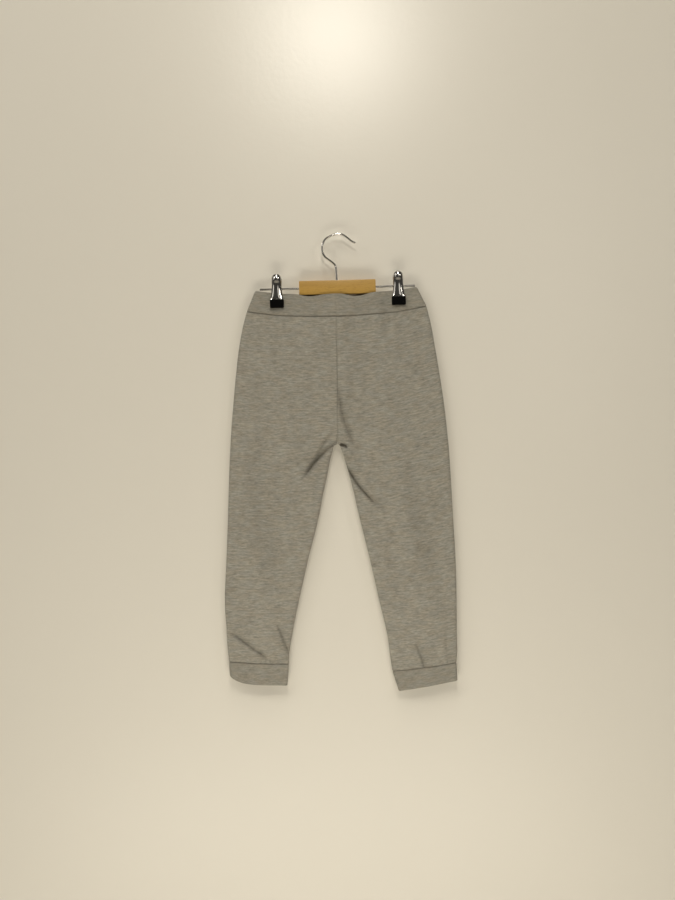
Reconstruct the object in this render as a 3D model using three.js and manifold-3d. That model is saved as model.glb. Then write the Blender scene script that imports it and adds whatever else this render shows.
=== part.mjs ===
// A child's jogger sweatpants, clipped flat to a trouser hanger.
// Millimetres. +Z is up, -Y is the front of the sweatpants, and left and right are as seen from the front.
// The origin is the inside of the hook's top, where a rail or wall hook carries the hanger.
import * as THREE from "three";
import { mergeVertices } from "three/addons/utils/BufferGeometryUtils.js";
import Module from "manifold-3d";

const wasm = await Module();
wasm.setup();

// Clearances and cloth
const GAP = 0.3; // between pieces that touch
const JERSEY = 1.6; // wall of brushed sweat jersey
const BAND_WALL = 3.2; // rib folded double over elastic
const CUFF_WALL = 2.6; // rib folded double
const HEM_ROUND = 0.8; // how far a folded edge is rounded off on each face

// The garment's seams and the tube that each leg forms
const CROTCH_LEVEL = -313.6; // where the four leg panels meet
const CROTCH_RISE = 30; // height over which the centre seams turn under to meet
const CROTCH_STRAIGHT = 20; // this near the crotch the inner edges run straight from row to row
const LEG_SPLIT_START = -200; // below this the body starts to part into two legs
const BODY_SEAM_CURVE = 2.2; // how late the waist seam rises towards its ends
const LEG_SEAM_CURVE = 1.3; // how late a leg's section rises towards its outer edge
const BODY_PLATEAU = 0.7; // share of the body's half width over which its depth grows
const FOLD_FLOOR = 0.45; // folds leave this share of the side's roll radius as half depth
const CUFF_ROLL = 4.6; // radius of the fold at each side of a cuff
const HEM_CURL_CURVE = 7; // how late a curled hem turns up

// The hanger
const CENTRE_X = -3; // the plate's and the bar's centre
const STEM_X = -3.7;
const WIRE_R = 1.6; // the hook's and the bar's radius
const BAR_LEVEL = -79;
const BAR_LENGTH = 233;
const PLATE = { width: 115, height: 19.8, thick: 9, top: -68, round: 1.2, stemDepth: 7 };
const CLIPS = [
  { side: "left", x: -94 },
  { side: "right", x: 88.3 },
];

// The clips
const METAL = 1; // pressed sheet of a clip half
const CLIP_TOP = -57.2;
const BOOT = { width: 20.8, height: 12.5, top: -95.2, inner: 3.7, thick: 5.6, round: 1.4 };
const SLOT = { width: 18.8, thick: 2.4, depth: 9, from: 5.2 };
const SPRING = { outer: 4.6, length: 9 };
const EARS = { radius: 3, thick: 1, front: 5.5, back: 6.8, frontReach: 5.4, backReach: 4.5 };

// How the clips pinch the cloth
const PINCH = { half: BOOT.inner - GAP, spreadX: 22, hold: 1.35, below: 62 };

// Sections of each leg tube, from the waist seam down to the cuff seam. level is the height at the
// centre seam or inseam, lift is how much higher the outer edge is, xOut and xIn are the two edges,
// roll is the radius of the fold at the outer edge, and bulge is half the tube's depth.
const SECTIONS = {
  left: [
    { level: -122.6, lift: 10.4, xOut: -140.2, xIn: -5.8, roll: 4.8, bulge: 8.8 },
    { level: -146, lift: 8.5, xOut: -147.2, xIn: -6.0, roll: 5, bulge: 9.6 },
    { level: -180, lift: 6, xOut: -154.3, xIn: -6.2, roll: 5.2, bulge: 10.4 },
    { level: -222, lift: 4, xOut: -160.1, xIn: -6.6, roll: 5.4, bulge: 11 },
    { level: -268, lift: 2, xOut: -165.5, xIn: -7.6, roll: 5.6, bulge: 11.4 },
    { level: -300, lift: 0.5, xOut: -168.8, xIn: -8.6, roll: 5.6, bulge: 11.4 },
    { level: -313.6, lift: 0, xOut: -169.8, xIn: -9, roll: 5.6, bulge: 11.2 },
    { level: -316, lift: 0, xOut: -170, xIn: -14.6, roll: 5.5, bulge: 11.2 },
    { level: -336, lift: 0, xOut: -171.5, xIn: -19.9, roll: 5.4, bulge: 11 },
    { level: -382, lift: 0, xOut: -174.3, xIn: -30.9, roll: 5.2, bulge: 10.6 },
    { level: -427, lift: 0, xOut: -176.7, xIn: -41, roll: 5, bulge: 10.2 },
    { level: -486, lift: 0, xOut: -180.4, xIn: -57.4, roll: 5, bulge: 9.6 },
    { level: -546, lift: 1, xOut: -184.2, xIn: -72.6, roll: 5, bulge: 9.4 },
    { level: -592, lift: 2, xOut: -182.6, xIn: -83.2, roll: 5, bulge: 9.6 },
    { level: -622, lift: 4, xOut: -181.7, xIn: -88.8, roll: 5, bulge: 9.4 },
    { level: -640.6, lift: 5.2, xOut: -180, xIn: -90, roll: 4.6, bulge: 8.2 },
  ],
  right: [
    { level: -122.6, lift: 12, xOut: 130.2, xIn: -5.8, roll: 4.8, bulge: 8.8 },
    { level: -146, lift: 9.5, xOut: 135.8, xIn: -6.0, roll: 5, bulge: 9.6 },
    { level: -180, lift: 6.5, xOut: 141.5, xIn: -6.2, roll: 5.2, bulge: 10.4 },
    { level: -222, lift: 4, xOut: 147.8, xIn: -6.6, roll: 5.4, bulge: 11 },
    { level: -268, lift: 2, xOut: 153.4, xIn: -7.6, roll: 5.6, bulge: 11.4 },
    { level: -300, lift: 0.5, xOut: 156.1, xIn: -8.6, roll: 5.6, bulge: 11.4 },
    { level: -313.6, lift: 0, xOut: 157.2, xIn: -9, roll: 5.6, bulge: 11.2 },
    { level: -316, lift: 0, xOut: 157.4, xIn: -4.4, roll: 5.5, bulge: 11.2 },
    { level: -332, lift: 0, xOut: 158.3, xIn: -0.2, roll: 5.4, bulge: 11 },
    { level: -370, lift: 0, xOut: 159.8, xIn: 9.8, roll: 5.2, bulge: 10.6 },
    { level: -428, lift: 0, xOut: 161.6, xIn: 21.8, roll: 5, bulge: 10.2 },
    { level: -488, lift: 0, xOut: 163.6, xIn: 35, roll: 5, bulge: 9.6 },
    { level: -549, lift: 1, xOut: 163.5, xIn: 47.2, roll: 5, bulge: 9.4 },
    { level: -603, lift: 3, xOut: 162.7, xIn: 58.4, roll: 5, bulge: 9.6 },
    { level: -634, lift: 6, xOut: 162.4, xIn: 61.6, roll: 5, bulge: 9.2 },
    { level: -655, lift: 9.6, xOut: 160.6, xIn: 64, roll: 4.6, bulge: 8.2 },
  ],
};

// The cuffs below those tubes. curl is how much further the hem's outer corner turns up.
const CUFFS = {
  left: { drop: 32.6, hemIn: -93.3, hemOut: -179.2, hemLift: 5, curl: 11, bulge: 8.4 },
  right: { drop: 31, hemIn: 73.2, hemOut: 161.4, hemLift: 13.4, curl: 0, bulge: 8.4 },
};

// The waistband's top edge: its two ends and how far its middle sags between the clips
const WAIST_TOP = { left: -126.6, right: 116.2, level: -81, sag: 8, sharpness: 2.3 };

// Where the front's top edge dips below the back's, under the plate
const FRONT_DIPS = [
  { x: -46, half: 25, depth: 3.2 },
  { x: 27, half: 28, depth: 3.8 },
];

// A fold fades out over this share of its length at each end, half of it past the end.
const FOLD_FADE = 0.4;

// Soft folds in the legs. Each runs from (x, z) to (toX, toZ), bowed sideways by bow, and sinks into
// the cloth by depth over a half width of width. A negative depth is a ridge.
const FOLDS = {
  front: [
    { name: "beside the centre seam", x: -1, z: -222, toX: 13.5, toZ: -304, bow: 1, depth: 2.6, width: 7 },
    { name: "below the band", x: 7, z: -131, toX: 14, toZ: -172, bow: 1, depth: 1.3, width: 7 },
    { name: "left crotch", x: -18, z: -316, toX: -58, toZ: -359, bow: 4, depth: 4.2, width: 8 },
    { name: "right crotch", x: 4, z: -344, toX: 41, toZ: -399, bow: 2.6, depth: 4.2, width: 8 },
    { name: "left thigh", x: -137, z: -326, toX: -128, toZ: -486, bow: 4, depth: 1.6, width: 14 },
    { name: "right thigh", x: 92, z: -340, toX: 112, toZ: -520, bow: -5, depth: 1.3, width: 15 },
    { name: "left ankle", x: -174, z: -594, toX: -123, toZ: -631, bow: 2, depth: 3.4, width: 5.5 },
    { name: "left ankle ridge", x: -166, z: -584, toX: -116, toZ: -622, bow: 2, depth: -1.2, width: 6 },
    { name: "left inner ankle", x: -105, z: -586, toX: -92, toZ: -626, bow: 2, depth: 2.8, width: 5.5 },
    { name: "right ankle", x: 100, z: -618, toX: 114, toZ: -650, bow: 1, depth: 2.4, width: 5.5 },
    { name: "right outer ankle", x: 148, z: -596, toX: 147, toZ: -640, bow: 1, depth: 1.2, width: 6 },
  ],
  back: [
    { name: "beside the centre seam", x: -16, z: -150, toX: -26, toZ: -300, bow: -3, depth: 2, width: 8 },
    { name: "left crotch", x: -22, z: -304, toX: -62, toZ: -372, bow: -5, depth: 4.2, width: 7 },
    { name: "right crotch", x: 4, z: -322, toX: 44, toZ: -384, bow: -5, depth: 4.4, width: 7 },
    { name: "left thigh", x: -120, z: -350, toX: -116, toZ: -500, bow: -4, depth: 1.5, width: 14 },
    { name: "right thigh", x: 104, z: -330, toX: 118, toZ: -490, bow: 5, depth: 1.6, width: 14 },
    { name: "left ankle", x: -160, z: -590, toX: -128, toZ: -634, bow: 2, depth: 2.6, width: 6 },
    { name: "right ankle", x: 142, z: -594, toX: 96, toZ: -638, bow: -3, depth: 3, width: 6 },
  ],
};

// The hook's centre line in its own plane, from the end inside the plate round to the free tip
const HOOK_LINE = [
  { x: STEM_X, z: -74.6 },
  { x: STEM_X, z: -66 },
  { x: -4.3, z: -52 },
  { x: -5, z: -46.4 },
  { x: -8, z: -42.4 },
  { x: -14.4, z: -37.2 },
  { x: -20.2, z: -32.4 },
  { x: -23.6, z: -26 },
  { x: -24.4, z: -19 },
  { x: -22.9, z: -12 },
  { x: -18.8, z: -5.6 },
  { x: -12.6, z: -1.8 },
  { x: -6, z: 0.5 },
  { x: 0, z: WIRE_R },
  { x: 4.8, z: 1.2 },
  { x: 9.2, z: -1.1 },
  { x: 14.6, z: -5.2 },
  { x: 20, z: -9.8 },
  { x: 26, z: -12.8 },
];

// Where the waistband's wall is shaped between its clips, seam and ends
const BAND_STATIONS = [-68, -57, -46, -35, -24, 3, 15, 27, 39, 52, 65];

// Mesh resolution: steps across a quarter of a side's roll, across the flat of a panel or cuff,
// and down a panel, which has finer rows over END_REACH above the cuff and below the crotch
const ROLL_STEPS = 3;
const MIDDLE_STEPS = 8;
const DOWN_STEPS = { body: 10, crotch: 6, thigh: 5, knee: 8, ankle: 6 };
const END_REACH = 60;

// The waistband's rows, as shares of its height from the rounded top edge down to its seam
const BAND_ROWS = [0, 0.05, 0.28, 0.52, 0.76, 1];
const CUFF_ROWS = [0, 0.3, 0.62, 0.95, 1];
const BAND_SWELL = 0.35; // share of the band's width over which its depth grows
const CLIP_FLAT = 12; // the band is flat this far to each side of a clip's middle
const ROD_SIDES = 16;

const clamp01 = (v) => Math.min(1, Math.max(0, v));
const ease = (v) => clamp01(v) * clamp01(v) * (3 - 2 * clamp01(v));
const lerp = THREE.MathUtils.lerp;

// The tube's section at a level, by smooth interpolation down one leg's table.
function sectionAt(table, level) {
  const last = table.length - 2;
  let i = table.findIndex((row) => row.level < level) - 1;
  if (i < 0) i = level >= table[0].level ? 0 : last;
  const [a, b] = [table[i], table[i + 1]];
  const t = clamp01((level - a.level) / (b.level - a.level));
  const slope = (j, key) => {
    const [p, q] = [table[Math.max(0, j - 1)], table[Math.min(last + 1, j + 1)]];
    return (q[key] - p[key]) / (q.level - p.level);
  };
  const found = { level };
  for (const key of ["lift", "xOut", "xIn", "roll", "bulge"]) {
    const nearCrotch = key === "xIn" && Math.abs(a.level - CROTCH_LEVEL) < CROTCH_STRAIGHT;
    const span = nearCrotch ? 0 : b.level - a.level;
    const bend = (t ** 3 - 2 * t ** 2 + t) * slope(i, key) + (t ** 3 - t ** 2) * slope(i + 1, key);
    found[key] = lerp(a[key], b[key], nearCrotch ? t : ease(t)) + bend * span;
  }
  return found;
}

// How strongly the clips draw the two layers together at a point, from 0 to 1.
function pinchAt(x, z) {
  const bootFoot = BOOT.top - BOOT.height;
  const down = z > bootFoot ? 1 : ease(1 - (bootFoot - z) / PINCH.below);
  const across = Math.max(...CLIPS.map((clip) => Math.exp(-(((x - clip.x) / PINCH.spreadX) ** 2))));
  return ease(across * PINCH.hold) * down;
}

// How far the folds of one face sink into the cloth at a point.
function foldsAt(face, x, z) {
  let sunk = 0;
  for (const fold of FOLDS[face]) {
    const along = new THREE.Vector2(fold.toX - fold.x, fold.toZ - fold.z);
    const length = along.length();
    const from = new THREE.Vector2(x - fold.x, z - fold.z);
    const t = from.dot(along) / length ** 2;
    const aside = from.cross(along) / length - fold.bow * Math.sin(Math.PI * clamp01(t));
    const fade = ease((t + FOLD_FADE / 2) / FOLD_FADE) * ease((1 + FOLD_FADE / 2 - t) / FOLD_FADE);
    sunk += fold.depth * fade * Math.exp(-((aside / fold.width) ** 2));
  }
  return sunk;
}

// Half the depth of the flattened tube at a point of a section, before its inner end is rolled in.
function halfDepth(section, legShare, x, z) {
  const t = clamp01((x - section.xOut) / (section.xIn - section.xOut));
  const body = ease(t / BODY_PLATEAU);
  const leg = ease(1 - Math.abs(2 * t - 1));
  const swell = lerp(body, leg, legShare);
  const free = section.roll + (section.bulge - section.roll) * swell;
  return lerp(free, PINCH.half, pinchAt(x, z));
}

// One row of a panel's outer face, from the side seam to the centre seam or inseam.
function panelRow(section, face) {
  const { level, lift, xOut, xIn, roll } = section;
  const sign = face === "front" ? -1 : 1;
  const toIn = Math.sign(xIn - xOut);
  const legShare = ease((LEG_SPLIT_START - level) / (LEG_SPLIT_START - CROTCH_LEVEL));
  const turned = clamp01((CROTCH_LEVEL + CROTCH_RISE - level) / CROTCH_RISE);
  const turn = Math.asin(turned);
  const curve = level > CROTCH_LEVEL ? BODY_SEAM_CURVE : LEG_SEAM_CURVE;
  const heightAt = (x) => level + lift * clamp01((xIn - x) / (xIn - xOut)) ** curve;
  const row = [];
  const add = (x, depth) => {
    const z = heightAt(x);
    const sunk = Math.min(foldsAt(face, x, z), depth - roll * FOLD_FLOOR) * clamp01(depth / roll);
    row.push(new THREE.Vector3(x, sign * Math.max(depth - sunk, GAP / 2), z));
  };
  for (let i = 0; i < ROLL_STEPS; i++) {
    const angle = (i / ROLL_STEPS) * (Math.PI / 2);
    const x = xOut + toIn * roll * (1 - Math.cos(angle));
    row.push(new THREE.Vector3(x, sign * Math.max(roll * Math.sin(angle), GAP / 2), heightAt(x)));
  }
  const [start, end] = [xOut + toIn * roll, xIn - toIn * (roll + GAP / 2)];
  for (let i = 0; i <= MIDDLE_STEPS; i++) {
    const x = lerp(start, end, i / MIDDLE_STEPS);
    add(x, halfDepth(section, legShare, x, heightAt(x)));
  }
  for (let i = 1; i <= ROLL_STEPS; i++) {
    const share = i / ROLL_STEPS;
    const across = turn > 0 ? Math.sin(turn * share) / Math.sin(turn) : share;
    const x = end + toIn * roll * across;
    add(x, halfDepth(section, legShare, x, heightAt(x)) * Math.cos(turn * share));
  }
  return row;
}

// The levels of a panel's rows: close together at the crotch, where the centre seam turns under.
function panelLevels(table) {
  const even = (from, to, steps) => Array.from({ length: steps }, (_, i) => lerp(from, to, i / steps));
  const turnStart = CROTCH_LEVEL + CROTCH_RISE;
  const quarter = even(0, Math.PI / 2, DOWN_STEPS.crotch);
  const split = table.find((row) => row.level < CROTCH_LEVEL).level;
  const bottom = table.at(-1).level;
  return [
    ...even(table[0].level - GAP / 2, turnStart, DOWN_STEPS.body),
    ...quarter.map((angle) => turnStart - CROTCH_RISE * Math.sin(angle)),
    CROTCH_LEVEL,
    ...even(split, CROTCH_LEVEL - END_REACH, DOWN_STEPS.thigh),
    ...even(CROTCH_LEVEL - END_REACH, bottom + END_REACH, DOWN_STEPS.knee),
    ...even(bottom + END_REACH, bottom, DOWN_STEPS.ankle),
    bottom + GAP / 2,
  ];
}

// Unit normals of a grid of points, by central differences, all facing away from the plane y = 0.
function outwardNormals(rows) {
  const [lastRow, lastColumn] = [rows.length - 1, rows[0].length - 1];
  const normals = rows.map((row, i) =>
    row.map((_, j) => {
      const along = rows[Math.min(i + 1, lastRow)][j].clone().sub(rows[Math.max(i - 1, 0)][j]);
      const across = row[Math.min(j + 1, lastColumn)].clone().sub(row[Math.max(j - 1, 0)]);
      return along.cross(across).normalize();
    }),
  );
  const [i, j] = [Math.floor(lastRow / 2), Math.floor(lastColumn / 2)];
  const inward = normals[i][j].y * rows[i][j].y < 0;
  return normals.map((row) => row.map((normal) => (inward ? normal.negate() : normal)));
}

// A closed wall between two grids of points with the same rows and columns.
function wallGeometry(outer, inner) {
  const [rows, columns] = [outer.length, outer[0].length];
  const points = [...outer.flat(), ...inner.flat()];
  const index = [];
  const at = (layer, i, j) => layer * rows * columns + i * columns + j;
  const quad = (a, b, c, d) => index.push(a, b, c, a, c, d);
  for (let i = 0; i < rows - 1; i++) {
    for (let j = 0; j < columns - 1; j++) {
      quad(at(0, i, j), at(0, i + 1, j), at(0, i + 1, j + 1), at(0, i, j + 1));
      quad(at(1, i, j), at(1, i, j + 1), at(1, i + 1, j + 1), at(1, i + 1, j));
    }
    quad(at(0, i, 0), at(1, i, 0), at(1, i + 1, 0), at(0, i + 1, 0));
    const end = columns - 1;
    quad(at(0, i, end), at(0, i + 1, end), at(1, i + 1, end), at(1, i, end));
  }
  for (let j = 0; j < columns - 1; j++) {
    quad(at(0, 0, j), at(0, 0, j + 1), at(1, 0, j + 1), at(1, 0, j));
    const foot = rows - 1;
    quad(at(0, foot, j), at(1, foot, j), at(1, foot, j + 1), at(0, foot, j + 1));
  }
  const geometry = new THREE.BufferGeometry();
  geometry.setAttribute("position", new THREE.Float32BufferAttribute(points.flatMap((p) => p.toArray()), 3));
  geometry.setIndex(index);
  return facingOut(geometry);
}

// Turns every face of a closed geometry round if it encloses a negative volume.
function facingOut(geometry) {
  const position = geometry.getAttribute("position");
  const { array } = geometry.index;
  const corner = [new THREE.Vector3(), new THREE.Vector3(), new THREE.Vector3()];
  let volume = 0;
  for (let i = 0; i < array.length; i += 3) {
    corner.forEach((c, k) => c.fromBufferAttribute(position, array[i + k]));
    volume += corner[0].dot(corner[1].cross(corner[2]));
  }
  if (volume < 0) {
    for (let i = 0; i < array.length; i += 3) [array[i], array[i + 1]] = [array[i + 1], array[i]];
  }
  geometry.computeVertexNormals();
  return geometry;
}

// A leg panel: a wall of jersey whose edges stay on their own side of the seams.
function legPanel(side, face) {
  const table = SECTIONS[side];
  const outer = panelLevels(table).map((level) => panelRow(sectionAt(table, level), face));
  const sign = face === "front" ? -1 : 1;
  const normals = outwardNormals(outer);
  const inner = outer.map((row, i) =>
    row.map((point, j) => {
      const moved = point.clone().addScaledVector(normals[i][j], -JERSEY);
      const edge = row.at(-1).x;
      moved.x = side === "left" ? Math.min(moved.x, edge) : Math.max(moved.x, edge);
      moved.y = sign * Math.max(moved.y * sign, GAP / 2);
      if (i === 0 || i === outer.length - 1) moved.z = point.z;
      return moved;
    }),
  );
  return wallGeometry(outer, inner);
}

// The columns round a flattened ring, as the number of a station across it, from 0 at the left to
// last at the right, and the face. They run from the seam over the front, round the left side, over
// the back, round the right side and over the front to the seam again.
function ringColumns(seam, last) {
  const columns = [];
  const flat = (from, to, face) => {
    const step = Math.sign(to - from);
    for (let i = from; i !== to + step; i += step) columns.push({ station: i, face, turn: 0 });
  };
  const roll = (station, face) => {
    for (let i = 1; i < 2 * ROLL_STEPS; i++) {
      columns.push({ station, face, turn: (i / (2 * ROLL_STEPS)) * Math.PI });
    }
  };
  if (seam > 0) flat(seam, 0, -1);
  roll(0, -1);
  flat(0, last, 1);
  roll(last, 1);
  flat(last, seam, -1);
  return columns;
}

// One row of a ring, from the x of its stations, the radius of its sides, half its depth and its
// height at any x.
function ringRow(columns, stations, roll, depthAt, heightAt) {
  return columns.map(({ station, face, turn }) => {
    const aside = (station === 0 ? -1 : 1) * roll * Math.sin(turn);
    const x = stations[station] + aside;
    const depth = turn ? roll * Math.cos(turn) : depthAt(x);
    return new THREE.Vector3(x, face * depth, heightAt(x, turn ? 0 : face));
  });
}

// A ring's wall: cloth folded double, so that its folded edge is rounded off.
function foldedRing(rows, wall, foldedEdge, seamFace) {
  const normals = outwardNormals(rows);
  const edge = foldedEdge === "top" ? 0 : rows.length - 1;
  const inner = rows.map((row, i) =>
    row.map((p, j) => {
      const n = normals[i][j].setZ(0).normalize();
      const moved = p.clone().addScaledVector(n, i === edge ? HEM_ROUND - wall : -wall);
      if (i === edge) p.addScaledVector(n, -HEM_ROUND);
      return moved;
    }),
  );
  for (const grid of [rows, inner]) {
    for (const row of grid) seamFace(row[0], row[row.length - 1]);
  }
  return wallGeometry(rows, inner);
}

// How far the front's top edge dips at x
function dipAt(x) {
  return FRONT_DIPS.reduce((sum, dip) => {
    const off = clamp01(Math.abs(x - dip.x) / dip.half);
    return sum + (dip.depth / 2) * (1 + Math.cos(Math.PI * off));
  }, 0);
}

// The waistband: one strip whose ends meet at the front centre seam.
function waistband() {
  const [left, right] = [SECTIONS.left[0], SECTIONS.right[0]];
  const seamX = left.xIn;
  const fixed = CLIPS.flatMap(({ x }) => [x - CLIP_FLAT, x, x + CLIP_FLAT]).concat(BAND_STATIONS, seamX);
  fixed.sort((a, b) => a - b);
  const columns = ringColumns(fixed.indexOf(seamX) + 1, fixed.length + 1);
  const across = (x) => {
    const half = x < seamX ? seamX - left.xOut : right.xOut - seamX;
    return clamp01(Math.abs(x - seamX) / half);
  };
  const topAt = (x, face) => {
    const half = x < seamX ? seamX - WAIST_TOP.left : WAIST_TOP.right - seamX;
    const sagging = 1 - clamp01(Math.abs(x - seamX) / half) ** WAIST_TOP.sharpness;
    return WAIST_TOP.level - WAIST_TOP.sag * sagging - (face < 0 ? dipAt(x) : 0);
  };
  const seamAt = (x) => {
    const side = x < seamX ? left : right;
    return side.level + side.lift * across(x) ** BODY_SEAM_CURVE + GAP / 2;
  };
  const rows = BAND_ROWS.map((share) => {
    const ends = {
      left: lerp(WAIST_TOP.left, left.xOut, share),
      right: lerp(WAIST_TOP.right, right.xOut, share),
    };
    const roll = left.roll;
    const depthAt = (x) => {
      const inFromEnd = Math.min(x - ends.left, ends.right - x) / (ends.right - ends.left);
      const free = roll + (left.bulge - roll) * ease(inFromEnd / BAND_SWELL);
      return lerp(free, PINCH.half, pinchAt(x, lerp(topAt(x), seamAt(x), share)));
    };
    const stations = [ends.left + roll, ...fixed, ends.right - roll];
    return ringRow(columns, stations, roll, depthAt, (x, face) => lerp(topAt(x, face), seamAt(x), share));
  });
  const seamFace = (first, last) => {
    first.x = seamX - GAP / 2;
    last.x = seamX + GAP / 2;
  };
  return foldedRing(rows, BAND_WALL, "top", seamFace);
}

// A cuff: one strip whose ends meet at the inseam, below the leg's last section.
function cuff(side) {
  const top = SECTIONS[side].at(-1);
  const shape = CUFFS[side];
  const mirror = side === "left" ? -1 : 1;
  // Built as if the inseam were on the left, and mirrored where it is on the right.
  const columns = ringColumns(0, MIDDLE_STEPS);
  const rows = CUFF_ROWS.map((share) => {
    const xIn = lerp(top.xIn, shape.hemIn, share) * mirror;
    const xOut = lerp(top.xOut, shape.hemOut, share) * mirror;
    const heightAt = (x) => {
      const t = clamp01((x - xIn) / (xOut - xIn));
      const seam = top.level + top.lift * t ** LEG_SEAM_CURVE - GAP / 2;
      const hem = top.level - shape.drop + shape.hemLift * t + shape.curl * t ** HEM_CURL_CURVE;
      return lerp(seam, hem, share);
    };
    const depthAt = (x) => {
      const t = clamp01((x - xIn) / (xOut - xIn));
      return CUFF_ROLL + (shape.bulge - CUFF_ROLL) * ease(1 - Math.abs(2 * t - 1));
    };
    const [low, high] = [xIn + CUFF_ROLL, xOut - CUFF_ROLL];
    const stations = Array.from({ length: MIDDLE_STEPS + 1 }, (_, i) => lerp(low, high, i / MIDDLE_STEPS));
    return ringRow(columns, stations, CUFF_ROLL, depthAt, heightAt);
  });
  const geometry = foldedRing(rows, CUFF_WALL, "bottom", (first, last) => {
    first.y = Math.max(first.y, GAP / 2);
    last.y = Math.min(last.y, -GAP / 2);
  });
  return mirror < 0 ? facingOut(geometry.scale(-1, 1, 1)) : geometry;
}

// manifold-3d solids from three.js geometries, and back.
function solid(geometry) {
  const bare = geometry.clone();
  bare.deleteAttribute("normal");
  bare.deleteAttribute("uv");
  const merged = mergeVertices(bare, 1e-4);
  const triVerts = new Uint32Array(merged.index.array);
  return new wasm.Manifold(
    new wasm.Mesh({ numProp: 3, vertProperties: merged.attributes.position.array, triVerts }),
  );
}

function fromSolid(made) {
  const mesh = made.getMesh();
  const geometry = new THREE.BufferGeometry();
  geometry.setAttribute("position", new THREE.BufferAttribute(mesh.vertProperties, 3));
  geometry.setIndex(new THREE.BufferAttribute(mesh.triVerts, 1));
  geometry.computeVertexNormals();
  return geometry;
}

// A block with rounded edges along its length, centred on x and y, standing down from top.
function roundedBlock(width, height, thick, top, round) {
  const outline = new THREE.Shape();
  const [w, h] = [thick / 2, height / 2];
  outline.moveTo(-w + round, -h).lineTo(w - round, -h).absarc(w - round, -h + round, round, -Math.PI / 2, 0);
  outline.lineTo(w, h - round).absarc(w - round, h - round, round, 0, Math.PI / 2);
  outline.lineTo(-w + round, h).absarc(-w + round, h - round, round, Math.PI / 2, Math.PI);
  outline.lineTo(-w, -h + round).absarc(-w + round, -h + round, round, Math.PI, 1.5 * Math.PI);
  const block = new THREE.ExtrudeGeometry(outline, {
    depth: width - round,
    steps: 1,
    bevelEnabled: true,
    bevelThickness: round / 2,
    bevelSize: round / 2,
    bevelOffset: -round / 2,
    bevelSegments: 1,
    curveSegments: 3,
  });
  block.translate(0, 0, -(width - round) / 2);
  block.rotateX(Math.PI / 2).rotateZ(Math.PI / 2);
  return block.translate(0, 0, top - height / 2);
}

// A round rod or drill along x.
function rodAlongX(radius, length) {
  return new THREE.CylinderGeometry(radius, radius, length, ROD_SIDES).rotateZ(Math.PI / 2);
}

function hangerHook() {
  const line = new THREE.CatmullRomCurve3(HOOK_LINE.map((p) => new THREE.Vector3(p.x, 0, p.z)));
  const section = new THREE.Shape().absarc(0, 0, WIRE_R, 0, 2 * Math.PI);
  return new THREE.ExtrudeGeometry(section, { extrudePath: line, steps: 48, curveSegments: 5 });
}

function hangerPlate() {
  const block = roundedBlock(PLATE.width, PLATE.height, PLATE.thick, PLATE.top, PLATE.round);
  const bore = rodAlongX(WIRE_R + GAP, 2 * PLATE.width).translate(0, 0, BAR_LEVEL);
  const socket = new THREE.CylinderGeometry(WIRE_R + GAP, WIRE_R + GAP, 2 * PLATE.stemDepth, ROD_SIDES);
  socket.rotateX(Math.PI / 2).translate(STEM_X - CENTRE_X, 0, PLATE.top);
  const made = solid(block).subtract(solid(bore)).subtract(solid(socket));
  return fromSolid(made).translate(CENTRE_X, 0, 0);
}

// The bar is one rod with its two ends rounded off.
function hangerBar() {
  const [half, round] = [BAR_LENGTH / 2, 0.7];
  const profile = [
    new THREE.Vector2(0, -half),
    new THREE.Vector2(WIRE_R - round, -half),
    new THREE.Vector2(WIRE_R, -half + round),
    new THREE.Vector2(WIRE_R, half - round),
    new THREE.Vector2(WIRE_R - round, half),
    new THREE.Vector2(0, half),
  ];
  return new THREE.LatheGeometry(profile, ROD_SIDES).rotateZ(Math.PI / 2).translate(CENTRE_X, 0, BAR_LEVEL);
}

// Sections of a clip half from its domed finger tab to the tongue inside the boot: half its width,
// how far its sides stand from the middle plane, and how much further its crown stands out.
const CLIP_SECTIONS = [
  { z: CLIP_TOP, half: 1.6, side: 7.3, crown: 0.2 },
  { z: CLIP_TOP - 0.5, half: 3.6, side: 7, crown: 0.9 },
  { z: CLIP_TOP - 1.8, half: 5.7, side: 6.5, crown: 2.2 },
  { z: CLIP_TOP - 4.4, half: 7.2, side: 6, crown: 3.6 },
  { z: CLIP_TOP - 7.8, half: 7.6, side: 5.6, crown: 4.1 },
  { z: CLIP_TOP - 11.6, half: 7.5, side: 5.3, crown: 3.9 },
  { z: CLIP_TOP - 15, half: 7.2, side: 4.9, crown: 3.4 },
  { z: BAR_LEVEL + 3.6, half: 7.2, side: 4.5, crown: 3.3 },
  { z: BAR_LEVEL, half: 7.5, side: 4.3, crown: 3.3 },
  { z: BAR_LEVEL - 4.6, half: 7.7, side: 4.8, crown: 3.1 },
  { z: BOOT.top + 3, half: 8.7, side: 5.2, crown: 3 },
  { z: BOOT.top + 0.6, half: 9, side: 6.2, crown: 1.5 },
  { z: BOOT.top - 1, half: 8.7, side: 6.5, crown: 0.5 },
  { z: BOOT.top - 8.4, half: 8.6, side: 6.5, crown: 0.5 },
];

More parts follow.
